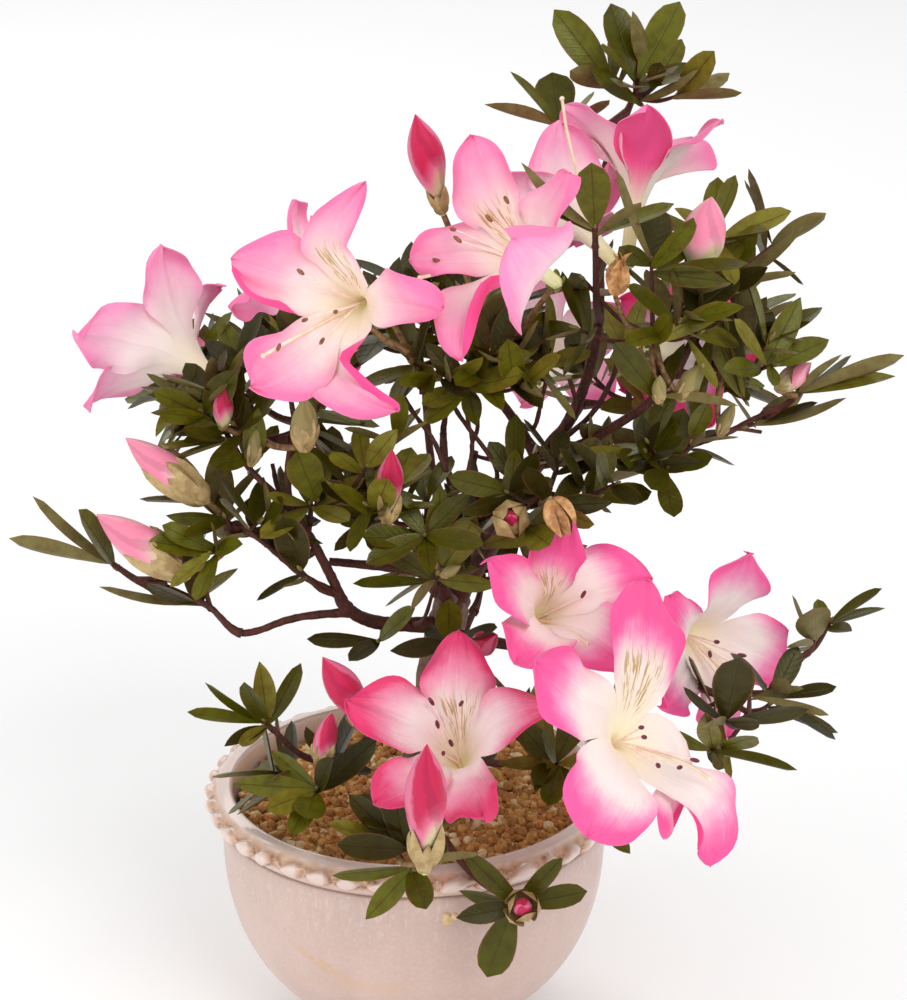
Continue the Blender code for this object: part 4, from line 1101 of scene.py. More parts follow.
def placing(origin, across, along, up):
    """A matrix that takes X, Y and Z to three given directions with their lengths."""
    columns = Matrix((across, along, up)).transposed().to_4x4()
    columns.translation = origin
    return columns


def bowl_radius(depth):
    """Outer radius of the bowl at a depth below the lip."""
    share = max(0.0, depth - BELLY_DEPTH) / (BOWL_DEPTH - BELLY_DEPTH)
    return BELLY_RADIUS * (1.0 - share ** BOWL_FALL) ** (1.0 / BOWL_ROUND)


def surface_of(piece):
    mesh = piece.data
    return BVHTree.FromPolygons([vert.co.copy() for vert in mesh.vertices],
                                [face.vertices[:] for face in mesh.polygons])


def make_pot(glaze):
    """The bowl drawn up from its foot, over the groove and the crimped band, and down inside."""
    foot = BOWL_DEPTH - FOOT_HEIGHT
    depths = [foot + (BELLY_DEPTH - foot) * row / BODY_ROWS for row in range(BODY_ROWS + 1)]
    rows = [(FOOT_RADIUS - FOOT_ROUND, 0.0), (FOOT_RADIUS, FOOT_ROUND * 0.6)]
    rows += [(FOOT_RADIUS, FOOT_HEIGHT - FOOT_ROUND)]
    rows += [(bowl_radius(depth), POT_HEIGHT - depth) for depth in depths]
    rows += [(radius, POT_HEIGHT - depth) for radius, depth in GROOVE_OUTLINE]
    rim = smooth_path([(radius, 0.0, POT_HEIGHT - depth) for radius, depth in RIM_OUTLINE], 7)
    rows += [(point.x, point.z) for point in rim]
    for depth in depths[::-2][1:-1]:
        rows.append((bowl_radius(depth) - WALL, POT_HEIGHT - depth))
    rows += [(FLOOR_RADIUS, FLOOR_HEIGHT), (FLOOR_RADIUS * 0.02, FLOOR_HEIGHT)]
    rings = [(Vector((0.0, 0.0, height)), radius) for radius, height in rows]
    pot = drawn_up("bonsai_pot", rings, CRIMPS * CRIMP_SIDES)
    crimp_band(pot.data)
    smooth(pot, 60.0)
    surface = surface_of(pot)
    done(pot, (glaze,), ("pot",))
    return surface


def crimp_band(mesh):
    """Raise the crimped lumps on the band, and note where stain and the brown line gather."""
    for name in ("stain", "line"):
        mesh.attributes.new(name, "FLOAT", "POINT")
    stain = mesh.attributes["stain"].data
    line = mesh.attributes["line"].data
    for vert, stained, lined in zip(mesh.vertices, stain, line):
        x, y, z = vert.co
        radius = math.hypot(x, y)
        depth = POT_HEIGHT - z
        if radius < FOOT_RADIUS or depth > MARKS_DEPTH:
            continue
        groove = math.exp(-((depth - GROOVE_DEPTH) / 0.5) ** 2) * (radius > BELLY_RADIUS - 1.0)
        crease = math.exp(-((radius - CREASE_RADIUS) / 0.3) ** 2) * (depth < 1.5)
        lined.value = max(groove, 0.7 * crease)
        if not BAND_TOP < depth < BAND_BOTTOM or radius < BAND_CORE_RADIUS + 1.0:
            continue
        share = (depth - BAND_TOP) / (BAND_BOTTOM - BAND_TOP)
        envelope = math.sin(math.pi * share) ** 0.6
        uneven = noise.noise(Vector((x, y, z)) / 2.6)
        turn = math.atan2(y, x) / FULL_TURN * CRIMPS
        wander = 0.3 * noise.noise(Vector((x, y, 0.0)) / 11.0)
        phase = (turn + CRIMP_SLANT * (share - 0.5) + wander) % 1.0
        level = (share - LUMP_LEVEL) / LUMP_HALF_HEIGHT
        away = math.hypot((phase - 0.5) / LUMP_HALF_WIDTH, level) * (1.0 + 0.22 * uneven)
        aside = (phase + 0.5) % 1.0 - 0.5
        bead = math.hypot(aside / BEAD_HALF_WIDTH, (share - 0.6) / BEAD_HALF_HEIGHT)
        lump = math.sqrt(max(0.0, 1.0 - away * away))
        valley = ramp(away, 0.8, 1.25)
        rise = CRIMP_RISE * lump + 0.5 * math.sqrt(max(0.0, 1.0 - bead * bead))
        rise += envelope * (0.55 * uneven - CRIMP_VALLEY * valley)
        rim = math.exp(-((away - 1.1) / 0.17) ** 2) * (0.6 + 0.4 * (level > 0.0))
        hollow = valley * envelope * max(0.0, 1.0 - 0.9 * share)
        stained.value = max(0.0, min(1.0, max(rim * envelope, hollow) + 0.3 * uneven * valley))
        outwards = Vector((radius - BAND_CORE_RADIUS, BAND_CORE_DEPTH - depth)).normalized()
        vert.co.x += x / radius * outwards.x * rise
        vert.co.y += y / radius * outwards.x * rise
        vert.co.z += outwards.y * rise


def soil_surface(radius):
    """Height of the soil at a distance from the middle."""
    edge = POT_HEIGHT - SOIL_DROP
    share = min(1.0, radius / SOIL_RADIUS)
    return edge + SOIL_DOME * (1.0 - share * share)


def grain_pattern(seed):
    """One rounded lump of pumice, with a slightly uneven face."""
    rng = random.Random(seed)
    piece = added("grain", bpy.ops.mesh.primitive_cube_add, size=1.0)
    with editing(piece):
        bpy.ops.mesh.subdivide(number_cuts=1)
        bpy.ops.transform.tosphere(value=0.85)
    for vert in piece.data.vertices:
        vert.co *= 1.0 + rng.uniform(-0.13, 0.13)
    return Pattern(piece)


def make_soil(finishes, under):
    """Loose pumice over the soil, one piece for each shade of grain."""
    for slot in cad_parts["soil"].material_slots:
        slot.material = under
    rng = random.Random(31)
    patterns = [grain_pattern(seed) for seed in range(4)]
    shades = [[] for _ in finishes]
    steps = int(SOIL_RADIUS / GRAIN_SPACING) + 1
    trunk_x, trunk_y, _ = TRUNK_POINTS[0]
    for row in range(-steps, steps + 1):
        for column in range(-steps - 1, steps + 2):
            for layer in range(2):
                x = (column + 0.5 * (row % 2)) * GRAIN_SPACING + rng.uniform(*GRAIN_JITTER)
                y = row * GRAIN_SPACING * GRAIN_ROW + rng.uniform(*GRAIN_JITTER)
                away = math.hypot(x, y)
                size = rng.uniform(*GRAIN_SIZES) * (1.0 if layer == 0 else 0.85)
                if away > SOIL_RADIUS - GRAIN_MARGIN or (layer and rng.random() < LOOSE_MISSING):
                    continue
                if math.hypot(x - trunk_x, y - trunk_y) < TRUNK_BASE_RADIUS + 1.5:
                    continue
                height = soil_surface(away) + size * (0.12 if layer == 0 else 0.75)
                spin = Matrix.Rotation(rng.uniform(*ANY_TURN), 4, "Z")
                spin = spin @ Matrix.Rotation(rng.uniform(*ANY_TURN), 4, "X")
                form = Matrix.Diagonal((size, size * rng.uniform(0.7, 1.0),
                                        size * rng.uniform(0.6, 0.9), 1.0))
                place = Matrix.Translation((x, y, height)) @ spin @ form
                shade = rng.choices(range(len(finishes)), GRAIN_SHARES)[0]
                shades[shade].append((rng.choice(patterns), place))
    for x, y, height, size in CRUMBS:
        spin = Matrix.Rotation(height, 4, "X") @ Matrix.Scale(size, 4)
        shades[2].append((patterns[0], Matrix.Translation((x, y, height)) @ spin))
    for k, (placings, finish) in enumerate(zip(shades, finishes)):
        done(copies(f"soil_grains_{k}", placings, 60.0), (finish,))


def trunk_path(steps):
    foot = POT_HEIGHT - SOIL_DROP + SOIL_DOME + CLEARANCE
    return smooth_path([(x, y, foot + z) for x, y, z in TRUNK_POINTS], steps)


def make_trunk(bark):
    """The trunk drawn up from its flared foot, with root ridges and furrowed bark."""
    path = trunk_path(TRUNK_STEPS)
    foot = path[0].z
    height = path[-1].z - foot
    rings = []
    for point in path:
        share = (point.z - foot) / height
        radius = TRUNK_BASE_RADIUS + (TRUNK_TOP_RADIUS - TRUNK_BASE_RADIUS) * share ** TRUNK_TAPER
        rings.append((point, radius))
    rings.append((path[-1] + UP * 2.0, TRUNK_TOP_RADIUS * 0.5))
    trunk = drawn_up("trunk_bark", rings, TRUNK_SIDES)
    for vert in trunk.data.vertices:
        centre = min(path, key=lambda point: abs(point.z - vert.co.z))
        flare = FLARE * math.exp(-(vert.co.z - foot) / FLARE_HEIGHT)
        way = Vector((vert.co.x - centre.x, vert.co.y - centre.y, 0.0))
        turn = math.atan2(way.y, way.x)
        ridge = flare * (RIDGE_LOW + RIDGE_RISE * max(0.0, math.cos(ROOT_RIDGES * turn)))
        flute = TRUNK_FLUTE * math.cos(ROOT_RIDGES * turn + vert.co.z * TRUNK_TWIST)
        vert.co += way.normalized() * (ridge + flute)
    modified(trunk, "SUBSURF", levels=1, render_levels=1)
    roughened(trunk, "bark", BARK_RELIEF)
    smooth(trunk)
    done(trunk, (bark,), ("trunk",))


def limb_paths():
    """The middle line of the trunk and of every limb; a limb's first heir carries its curve on."""
    paths = {"trunk": trunk_path(LIMB_STEPS)}
    knots = {}
    for name, (parent, share, points, _, _) in LIMBS.items():
        foot, _ = point_along(paths[parent], share)
        knots[name] = (foot, *points)
        paths[name] = smooth_path(knots[name], LIMB_STEPS)
        if share == 1.0 and parent in knots:
            whole = smooth_path((*knots[parent], *points), LIMB_STEPS)
            turn = (len(knots[parent]) - 1) * LIMB_STEPS
            paths[parent] = whole[:turn + 1]
            paths[name] = whole[turn:]
    return paths


def make_limbs(paths, bark):
    """All the boughs, each with its taper, a swelling where it forks off, and rough bark."""
    runs = []
    for name, (_, _, _, start, end) in LIMBS.items():
        radii = limb_radii(paths[name], start * BARK_SHARE, end * BARK_SHARE)
        runs.append((paths[name], radii))
    for parent, radius, spots in TWIGS:
        points = [whole(seen_at(*spot)) for spot in spots]
        foot = min(paths[parent], key=lambda point: (point - Vector(points[0])).length)
        path = smooth_path((foot, *points), LIMB_STEPS)
        runs.append((path, limb_radii(path, radius, radius * 0.75)))
    boughs = tubes("boughs_bark", runs, LIMB_SIDES)
    modified(boughs, "SUBSURF", levels=1, render_levels=1)
    roughened(boughs, "bough_bark", BOUGH_RELIEF)
    smooth(boughs)
    done(boughs, (bark,), tuple(LIMBS))


def bloom_frame(turn, tilt, roll):
    """Axes of a bloom: where it faces, and two directions across its face."""
    turn, tilt, roll = (math.radians(angle) for angle in (turn, tilt, roll))
    face = Vector((math.cos(tilt) * math.sin(turn), -math.cos(tilt) * math.cos(turn),
                   math.sin(tilt)))
    top = (UP - face * face.dot(UP)).normalized()
    side = face.cross(top)
    return face, top * math.cos(roll) + side * math.sin(roll), \
        side * math.cos(roll) - top * math.sin(roll)


def ramp(value, low, high):
    share = max(0.0, min(1.0, (value - low) / (high - low)))
    return share * share * (3.0 - 2.0 * share)


def petal_line(length, opening, curl):
    """The middle line of a petal from the throat out: (out, forward, slope) at even steps."""
    out, forward = 0.0, 0.0
    line = []
    for step in range(PETAL_SAMPLES + 1):
        v = step / PETAL_SAMPLES
        slope = opening - PETAL_BOW * math.cos(math.pi * v)
        slope = math.radians(slope + curl * max(0.0, (v - 0.45) / 0.55) ** 1.6)
        line.append((out + THROAT_RADIUS * (1.0 - v) ** 3, forward, slope))
        out += math.sin(slope) * length / PETAL_SAMPLES
        forward += math.cos(slope) * length / PETAL_SAMPLES
    return line


class Petal:
    """One petal with its fifth of the tube: its own habit and the place of each of its points."""

    def __init__(self, throat, axes, index, length, opening, petals, rng):
        self.throat = throat
        self.face, self.top, self.side = axes
        self.index = index
        self.opening = opening
        wide, blunt, forms = petals
        curl, turned, swing, long, broad, bow, roll, *flat = forms[index]

        def own(part):
            return rng.uniform(*PETAL_HABIT[part])

        self.width = wide * length * broad * own("width")
        length *= long
        self.line = petal_line(length, opening, curl + own("curl"))
        self.fullest = own("fullest")
        self.blunt = blunt + own("blunt")
        self.cup = own("cup")
        self.swing = swing + own("swing")
        self.sway = own("sway") * length
        self.bow = bow * length
        self.turned = math.radians(turned)
        self.roll = math.radians(roll or own("roll"))
        usual = PETAL_EDGES[0] + (PETAL_EDGES[1] - PETAL_EDGES[0]) * abs(self.roll) / math.pi
        self.flat = flat[0] if flat else usual
        self.waves = own("waves")
        self.phase = own("phase")
        self.ruffle = own("ruffle")
        self.recurved = own("recurved")

    def middle(self, v):
        """Out, forward and slope of the middle line: in the tube below 0, at the tip at 1."""
        if v < 0.0:
            share = -v / TUBE_SHARE
            out = THROAT_RADIUS + (TUBE_BASE_RADIUS - THROAT_RADIUS) * share
            return out, -TUBE_LENGTH * share, math.radians(self.opening - PETAL_BOW) * (1.0 - share)
        spot = v * PETAL_SAMPLES
        k = min(int(spot), PETAL_SAMPLES - 1)
        return [a + (b - a) * (spot - k) for a, b in zip(self.line[k], self.line[k + 1])]

    def height(self, u, v, reach):
        """How high the cup, the crease, the ruffled sides and the wrinkles lift a point."""
        lift = self.cup * reach * u * u * 2.0 - CREASE * math.exp(-(u / CREASE_WIDTH) ** 2)
        wave = FULL_TURN * self.waves * v + self.phase + 1.4 * u
        lift += self.ruffle * abs(u) ** 3 * math.sin(wave)
        lift += 1.1 * u * (1.0 - ramp(v, 0.6, 1.0)) - self.recurved * u ** 4 * ramp(v, 0.5, 0.85)
        return lift + WRINKLE * noise.noise(Vector((u * 1.8, v * 3.0, self.phase)))

    def rolled(self, u, v, reach):
        """How far the rolled edge draws a point aside, and how far it lifts it."""
        edge = max(0.0, math.copysign(u, u * self.roll) - self.flat)
        angle = abs(self.roll) * ramp(v, 0.3, 0.62) / (1.0 - self.flat)
        if edge <= 0.0 or angle <= 0.02:
            return 0.0, 0.0
        drawn_in = reach * (edge - math.sin(angle * edge) / angle)
        return math.copysign(drawn_in, self.roll), reach * (1.0 - math.cos(angle * edge)) / angle

    def place(self, u, v):
        """The place of a point, u across the petal from -1 to 1 and v along it."""
        out, forward, slope = self.middle(v)
        free = ramp(v, PETALS_JOINED, PETALS_FREE)
        around = math.radians(PETAL_TURN * self.index + self.swing * free)
        outwards = math.cos(around) * self.top + math.sin(around) * self.side
        lateral = math.cos(around) * self.side - math.sin(around) * self.top
        normal = self.face * math.sin(slope) - outwards * math.cos(slope)
        fan = math.radians(PETAL_TURN / 2.0) * u
        outline = math.sin(math.pi * v ** self.fullest) ** self.blunt if 0.0 < v < 1.0 else 0.0
        frill = noise.noise(Vector((v * 4.2, math.copysign(3.0, u), self.phase)))
        reach = self.width * outline * (1.0 + PETAL_FRILL * frill)
        drawn_in, raised = self.rolled(u, v, reach)
        aside = out * math.sin(fan) * (1.0 - free) + reach * u * free
        aside += (self.sway * v * v + self.bow * math.sin(math.pi * v)) * free
        aside -= drawn_in
        back = out * math.cos(fan) * (1.0 - free) + out * free
        lift = self.height(u, v, reach) + raised
        tilt = self.turned * ramp(v, 0.35, 1.0)
        across = lateral * math.cos(tilt) + normal * math.sin(tilt)
        upwards = normal * math.cos(tilt) - lateral * math.sin(tilt)
        return self.throat + outwards * back + self.face * forward + across * aside \
            + upwards * lift * free

    def make(self, name, finishes, mark):
        """The petal as a flat grid with each of its points moved to its place."""
        piece = added(name, bpy.ops.mesh.primitive_grid_add, size=2.0,
                      x_subdivisions=PETAL_ACROSS, y_subdivisions=PETAL_ALONG, calc_uvs=True)
        for vert in piece.data.vertices:
            v = 1.0 - ((1.0 - vert.co.y) / 2.0) ** TIP_CROWDING
            vert.co = self.place(vert.co.x, v * (1.0 + TUBE_SHARE) - TUBE_SHARE)
        with editing(piece):
            bpy.ops.mesh.flip_normals()
        for finish in finishes:
            piece.data.materials.append(finish)
        for quad in piece.data.polygons:
            quad.material_index = mark
        return piece


def joined(name, parts):
    """Join parts into one piece and merge the points where they meet."""
    deselect()
    for part in parts:
        part.select_set(True)
    bpy.context.view_layer.objects.active = parts[0]
    bpy.ops.object.join()
    piece = bpy.context.object
    piece.name = name
    with editing(piece):
        bpy.ops.mesh.remove_doubles(threshold=0.02)
    return piece


class Blooms:
    """Grows every bloom: petals, stamens, style, calyx and stalk."""

    def __init__(self, paths, finishes):
        self.paths = paths
        self.finishes = finishes
        self.surfaces = []
        self.stalks, self.filaments, self.styles = [], [], []
        self.anthers, self.tan_anthers, self.stigmas, self.calyces = [], [], [], []

    def grow(self, name, heads):
        """One bloom: the petals of its heads are one piece, and later heads share its stalk."""
        rng = random.Random(len(name) * 13 + sum(heads[0][2]))
        forms = PETAL_FORMS.get(name, ())
        marks = PETAL_MARKS.get(name, ())
        strong = name in STRONG_BLOOMS
        finishes = self.finishes[BLOOM_KINDS.get(name, "deep" if strong else "soft")]
        spots, style = STAMENS.get(name, USUAL_STAMENS)
        stalk = None
        parts = []
        for h, (limb, share, throat, turn, tilt, roll, length, opening) in enumerate(heads):
            petals = forms[h] if h < len(forms) else USUAL_PETALS
            mark = marks[h] if h < len(marks) else USUAL_MARKS
            axes = bloom_frame(turn, tilt, roll)
            throat = Vector(throat)
            for k in range(PETALS):
                one = Petal(throat, axes, k, length, opening, petals, rng)
                parts.append(one.make(name, finishes, mark.get(k, 0)))
            calyx = throat - axes[0] * (TUBE_LENGTH - 0.5)
            if stalk:
                path = bowed(point_along(stalk, 0.5)[0], calyx, 0.08, 0.0)
                spots, style = USUAL_STAMENS
            else:
                path = stalk = bowed(point_along(self.paths[limb], share)[0], calyx, 0.06, 1.0)
            self.stalks.append((path, limb_radii(path, STALK_RADIUS * 1.2, STALK_RADIUS)))
            for spot in spots:
                self.grow_stamen(throat, axes, spot, strong, rng)
            self.grow_style(throat, axes, style)
            self.grow_calyx(calyx, axes, rng)
        piece = joined(name + "_petals", parts)
        self.surfaces.append(surface_of(piece))
        modified(piece, "SOLIDIFY", thickness=PETAL_THICKNESS, offset=-1.0, material_offset=3,
                 material_offset_rim=0)
        smooth(piece, 60.0)
        done(piece, (), (name,))

    def grow_stamen(self, throat, axes, spot, strong, rng):
        """A filament that leaves the tube, arches and lifts its anther."""
        face, top, side = axes
        out = side * spot[0] + top * spot[1]
        forward = ANTHER_FORWARD + rng.uniform(-2.0, 2.0)
        end = throat + out + face * forward
        points = (throat - face * ORGANS_START + out * 0.06, throat + face * 3.0 + out * 0.12,
                  throat + face * forward * 0.62 + out * 0.6, end)
        path = smooth_path(points, 4)
        last = len(path) - 1
        radii = [FILAMENT_RADIUS - FILAMENT_TAPER * i / last for i in range(last + 1)]
        self.filaments.append((path, radii))
        way = (path[-1] - path[-2]).normalized()
        way = (way + Vector(rng.uniform(-0.5, 0.5) for _ in range(3))).normalized()
        across = way.orthogonal().normalized()
        wide, thick, long = ANTHER_SIZE
        where = placing(end + way * 0.8, across * wide, way.cross(across) * thick, way * long)
        anthers = self.anthers if strong else self.tan_anthers
        anthers.append((ANTHER, where))

    def grow_style(self, throat, axes, spot):
        """The one longer stalk in the middle, with its knob."""
        face, top, side = axes
        out = side * spot[0] + top * spot[1]
        end = throat + out + face * STYLE_FORWARD * 0.9
        points = (throat - face * ORGANS_START, throat + face * 4.0 + out * 0.1,
                  throat + face * STYLE_FORWARD * 0.7 + out * 0.66, end)
        path = smooth_path(points, 5)
        self.styles.append((path, [STYLE_RADIUS] * len(path)))
        wide, thick = STIGMA_SIZE
        self.stigmas.append((ANTHER, placing(end, side * wide, top * wide, face * thick)))

    def grow_calyx(self, calyx, axes, rng):
        """Five small green sepals that hold the foot of the tube."""
        face, top, side = axes
        for k in range(PETALS):
            turn = math.radians(PETAL_TURN * k + PETAL_TURN / 2.0)
            out = math.cos(turn) * top + math.sin(turn) * side
            along = (face + out * rng.uniform(*SEPAL_SPREAD)).normalized()
            across = face.cross(out).normalized()
            up = across.cross(along).normalized()
            size = rng.uniform(*SEPAL_LENGTHS)
            where = placing(calyx - face * SEPAL_FOOT + out * SEPAL_FOOT, across * SEPAL_WIDTH,
                            along * size, -up * size)
            self.calyces.append((LEAVES[0], where))

    def make_organs(self, organs):
        """Join each kind of small organ into one piece."""
        done(tubes("flower_stalks", self.stalks, 8), (organs["stalk"],))
        done(tubes("filaments", self.filaments, 6), (organs["filament"],))
        done(tubes("styles", self.styles, 6), (organs["style"],))
        done(copies("anthers", self.anthers), (organs["anther"],))
        done(copies("tan_anthers", self.tan_anthers), (organs["tan_anther"],))
        done(copies("stigmas", self.stigmas), (organs["style"],))
        done(copies("calyces", self.calyces), (organs["calyx"], organs["calyx"]))


def leaf_pattern(name, fullest, pointed, arch, fold):
    """A leaf along +Y from a flat grid: rows set to the outline, arched, folded and backed."""
    piece = added(name, bpy.ops.mesh.primitive_grid_add, size=1.0, x_subdivisions=2,
                  y_subdivisions=LEAF_ROWS, location=(0.0, 0.5, 0.0), calc_uvs=True)
    with editing(piece):
        for row in range(LEAF_ROWS + 1):
            share = row / LEAF_ROWS
            wide = max(0.05, math.sin(math.pi * share ** fullest) ** pointed) if share < 1 else 0.03
            pick(piece, lambda co: abs(co.y - share) < 0.01)
            bpy.ops.transform.resize(value=(wide, 1.0, 1.0), center_override=(0.0, share, 0.0))
            bpy.ops.transform.translate(value=(0.0, 0.0, arch * (0.35 * share - share ** 2.2)))
            pick(piece, lambda co: abs(co.y - share) < 0.01 and abs(co.x) < 0.001)
            bpy.ops.transform.translate(value=(0.0, 0.0, -fold * wide))
        bpy.ops.mesh.select_all(action="SELECT")
        bpy.ops.mesh.duplicate()
        bpy.ops.mesh.flip_normals()
    points, faces = piece.data.vertices, piece.data.polygons
    for vert in points[len(points) // 2:]:
        if abs(vert.co.x) < 0.001 and 0.05 < vert.co.y < 0.95:
            vert.co.z -= 0.02
    for face in faces[len(faces) // 2:]:
        face.material_index = 1
    with editing(piece):
        bpy.ops.mesh.remove_doubles(threshold=0.0005)
    return Pattern(piece)


def wrap_uv(piece):
    """Map a body of unit height along Z: U runs round it and V from its foot to its tip."""
    layer = piece.data.uv_layers.active.data
    for face in piece.data.polygons:
        turns = []
        for loop in face.loop_indices:
            x, y, z = piece.data.vertices[piece.data.loops[loop].vertex_index].co
            turn = math.atan2(y, x) / FULL_TURN
            if turns and turn - turns[0] > 0.5:
                turn -= 1.0
            if turns and turns[0] - turn > 0.5:
                turn += 1.0
            turns.append(turn)
            layer[loop].uv = (turn, z)


def bud_pattern(name, shoulder, girth, twist, ribs):
    """A furled bud of unit length and width along +Z, its petals wound round each other."""
    rings = []
    for row in range(BUD_ROWS + 1):
        share = row / BUD_ROWS
        radius = 0.5 * math.sin(math.pi * share ** shoulder) ** girth if 0 < share < 1 else 0.0
        radius = max(radius, 0.09 * (1.0 - share) + 0.012)
        rings.append((Vector((0.0, 0.0, share)), radius))
    piece = drawn_up(name, rings, BUD_SIDES)
    for vert in piece.data.vertices:
        turn = math.atan2(vert.co.y, vert.co.x)
        wave = 1.0 + ribs * math.cos(PETALS * (turn + twist * vert.co.z))
        vert.co.x *= wave
        vert.co.y *= wave
    wrap_uv(piece)
    return Pattern(piece)


def axes_across(along):
    """The unit vector of a direction, and two more across it."""
    up = along.normalized()
    across = up.orthogonal().normalized()
    return up, across, up.cross(across)


class Buds:
    """Grows every bud on its stalk, with the scales that wrap it or that it has left behind."""

    def __init__(self, stems, tints):
        self.stems = stems
        self.stalks = []
        self.scales = []
        self.furled = {tint: [] for tint in tints}
        self.cups = {"scale": [], "scale_dry": []}

    def stalk(self, mass, end):
        """The path of a stalk from high on a mass's stem to a bud's foot."""
        return bowed(point_along(self.stems[mass], STEM_SHARES[-1])[0], end, 0.1, 0.0)

    def grow(self, mass, tip, base, width, tint, cover):
        """One furled bud."""
        rng = random.Random(sum(tip))
        base = Vector(base)
        along = Vector(tip) - base
        _, across, beside = axes_across(along)
        form = "slim" if tint == "crimson" and width > SLIM_WIDTH else "full"
        where = placing(base, across * width, beside * width, along)
        self.furled[tint].append((BUD_SLIM if form == "slim" else BUD_FULL, where))
        path = self.stalk(mass, base + along * BUD_SINK * 0.5)
        self.stalks.append((path, limb_radii(path, *BUD_STALK)))
        for whorl in range(3):
            for k in range(4):
                turn = FULL_TURN * (k + 0.5 * whorl) / 4 + rng.uniform(*SCALE_SWERVE)
                out = across * math.cos(turn) + beside * math.sin(turn)
                self.grow_scale(base, along, out, width, cover, whorl, BUD_FORMS[form], rng)

    def grow_scale(self, base, along, out, width, cover, whorl, form, rng):
        """A papery scale that hugs its bud's foot, longer in the upper whorls."""
        length = along.length
        up = along.normalized()
        size = length * max(0.16, cover) * (0.62 + 0.22 * whorl) * rng.uniform(*SCALE_LENGTHS)
        height = min(0.9, size / length + 0.03 * whorl)
        shoulder, girth = form
        bud = 0.5 * width * math.sin(math.pi * height ** shoulder) ** girth
        lean = (bud + 0.7 - 0.05 * width) / size + SCALE_ARCH * 0.65
        way = (up + out * lean).normalized()
        wide = width * SCALE_WIDTHS[cover > 0.5]
        side = up.cross(out).normalized()
        root = base + out * width * 0.05 + up * length * 0.03 * whorl
        self.scales.append((SCALE, placing(root, side * wide, way * size, side.cross(way) * -size)))

    def grow_open(self, mass, tip, base, width, reach, wide, lean, kind):
        """Two whorls of cupped scales that open round a bud, or stay when it has gone."""
        base = Vector(base)
        along = Vector(tip) - base
        up, across, beside = axes_across(along)
        if width:
            where = placing(base, across * width, beside * width, along)
            self.furled["crimson"].append((BUD_FULL, where))
        rng = random.Random(wide)
        for whorl in range(2):
            for k in range(3):
                turn = FULL_TURN * (k + 0.5 * whorl) / 3 + rng.uniform(*SCALE_SWERVE)
                out = across * math.cos(turn) + beside * math.sin(turn)
                spread = math.radians(lean * (1.25 - 0.45 * whorl) * rng.uniform(*CUP_LEANS))
                way = up * math.cos(spread) + out * math.sin(spread)
                side = up.cross(out)
                size = reach * rng.uniform(*CUP_LENGTHS)
                where = placing(base + out * wide * 0.16, side * wide, way * size,
                                side.cross(way) * -size)
                self.cups[kind].append((CUP, where))
        self.stalks.append((self.stalk(mass, base), [CUP_STALK_RADIUS] * (2 * TWIG_STEPS + 1)))

    def make(self, finishes, organs):
        """Join the buds of each tint, their scales, their cups and their stalks."""
        for tint, placings in self.furled.items():
            done(copies(tint + "_buds", placings), (finishes[tint],))
        done(copies("bud_scales", self.scales), (organs["scale_dry"], organs["scale"]))
        for kind, placings in self.cups.items():
            done(copies("cups_" + kind, placings), (organs[kind], organs[kind]))
        done(tubes("bud_stalks", self.stalks, 6), (organs["stalk"],))


def depth_in(mass, point):
    """How deep a point lies in a mass's space: 0 at its centre, 1 at its reach."""
    _, _, centre, reach, *_ = MASSES[mass]
    return math.sqrt(sum(((point[i] - centre[i]) / reach[i]) ** 2 for i in range(3)))


def in_reach(mass, point):
    """Whether a point is close enough to its mass, or inside a neighbour."""
    low, high = (Vector(corner) / MM for corner in CAD_BOX)
    if any(not low[i] - BOX_MARGIN < point[i] < high[i] + BOX_MARGIN for i in range(3)):
        return False
    if depth_in(mass, point) < LEAF_REACH:
        return True
    return any(depth_in(other, point) < 1.0 for other in MASSES)


def twig_tips(mass, rng):
    """Where a mass's twigs end, evenly through its space."""
    _, _, centre, reach, count, _, _ = MASSES[mass]
    centre = Vector(centre)
    tips = []
    for k in range(count):
        height = TWIG_HIGHEST - TWIG_HEIGHTS * (k + 0.5) / count
        turn = k * GOLDEN_ANGLE + len(mass)
        flat = math.sqrt(1.0 - height * height)
        spread = TWIG_SPREAD * rng.uniform(*TWIG_REACHES) * (1.0 if k % 3 else 0.6)
        way = Vector((flat * math.cos(turn), flat * math.sin(turn), height))
        tips.append(centre + spread * Vector(way[i] * reach[i] for i in range(3)))
    return tips


def leaf_tone(end, rng):
    """The tone of a spray's leaves, with painted light and shade: lighter high in the crown, deeper low
    down.
    """
    shares = LIT_TOP_SHARES if end.z > TOP_SPRAYS else LEAF_SHARES
    shares = SHADED_LOW_SHARES if end.z < LOW_SPRAYS else shares
    return rng.choices(range(len(LEAF_TONES)), shares)[0]


def leaf_ways(along, count, rng):
    """Directions of a whorl of leaves round the end of a twig."""
    side = along.orthogonal().normalized()
    ways = []
    for k in range(count):
        turn = k * GOLDEN_ANGLE + rng.uniform(-LEAF_SWERVE, LEAF_SWERVE)
        spread = math.radians(rng.uniform(*LEAF_SPREAD))
        out = Matrix.Rotation(turn, 3, along) @ side
        way = along * math.cos(spread) + out * math.sin(spread) + UP * LEAF_LIFT
        ways.append(way.normalized())
    return ways


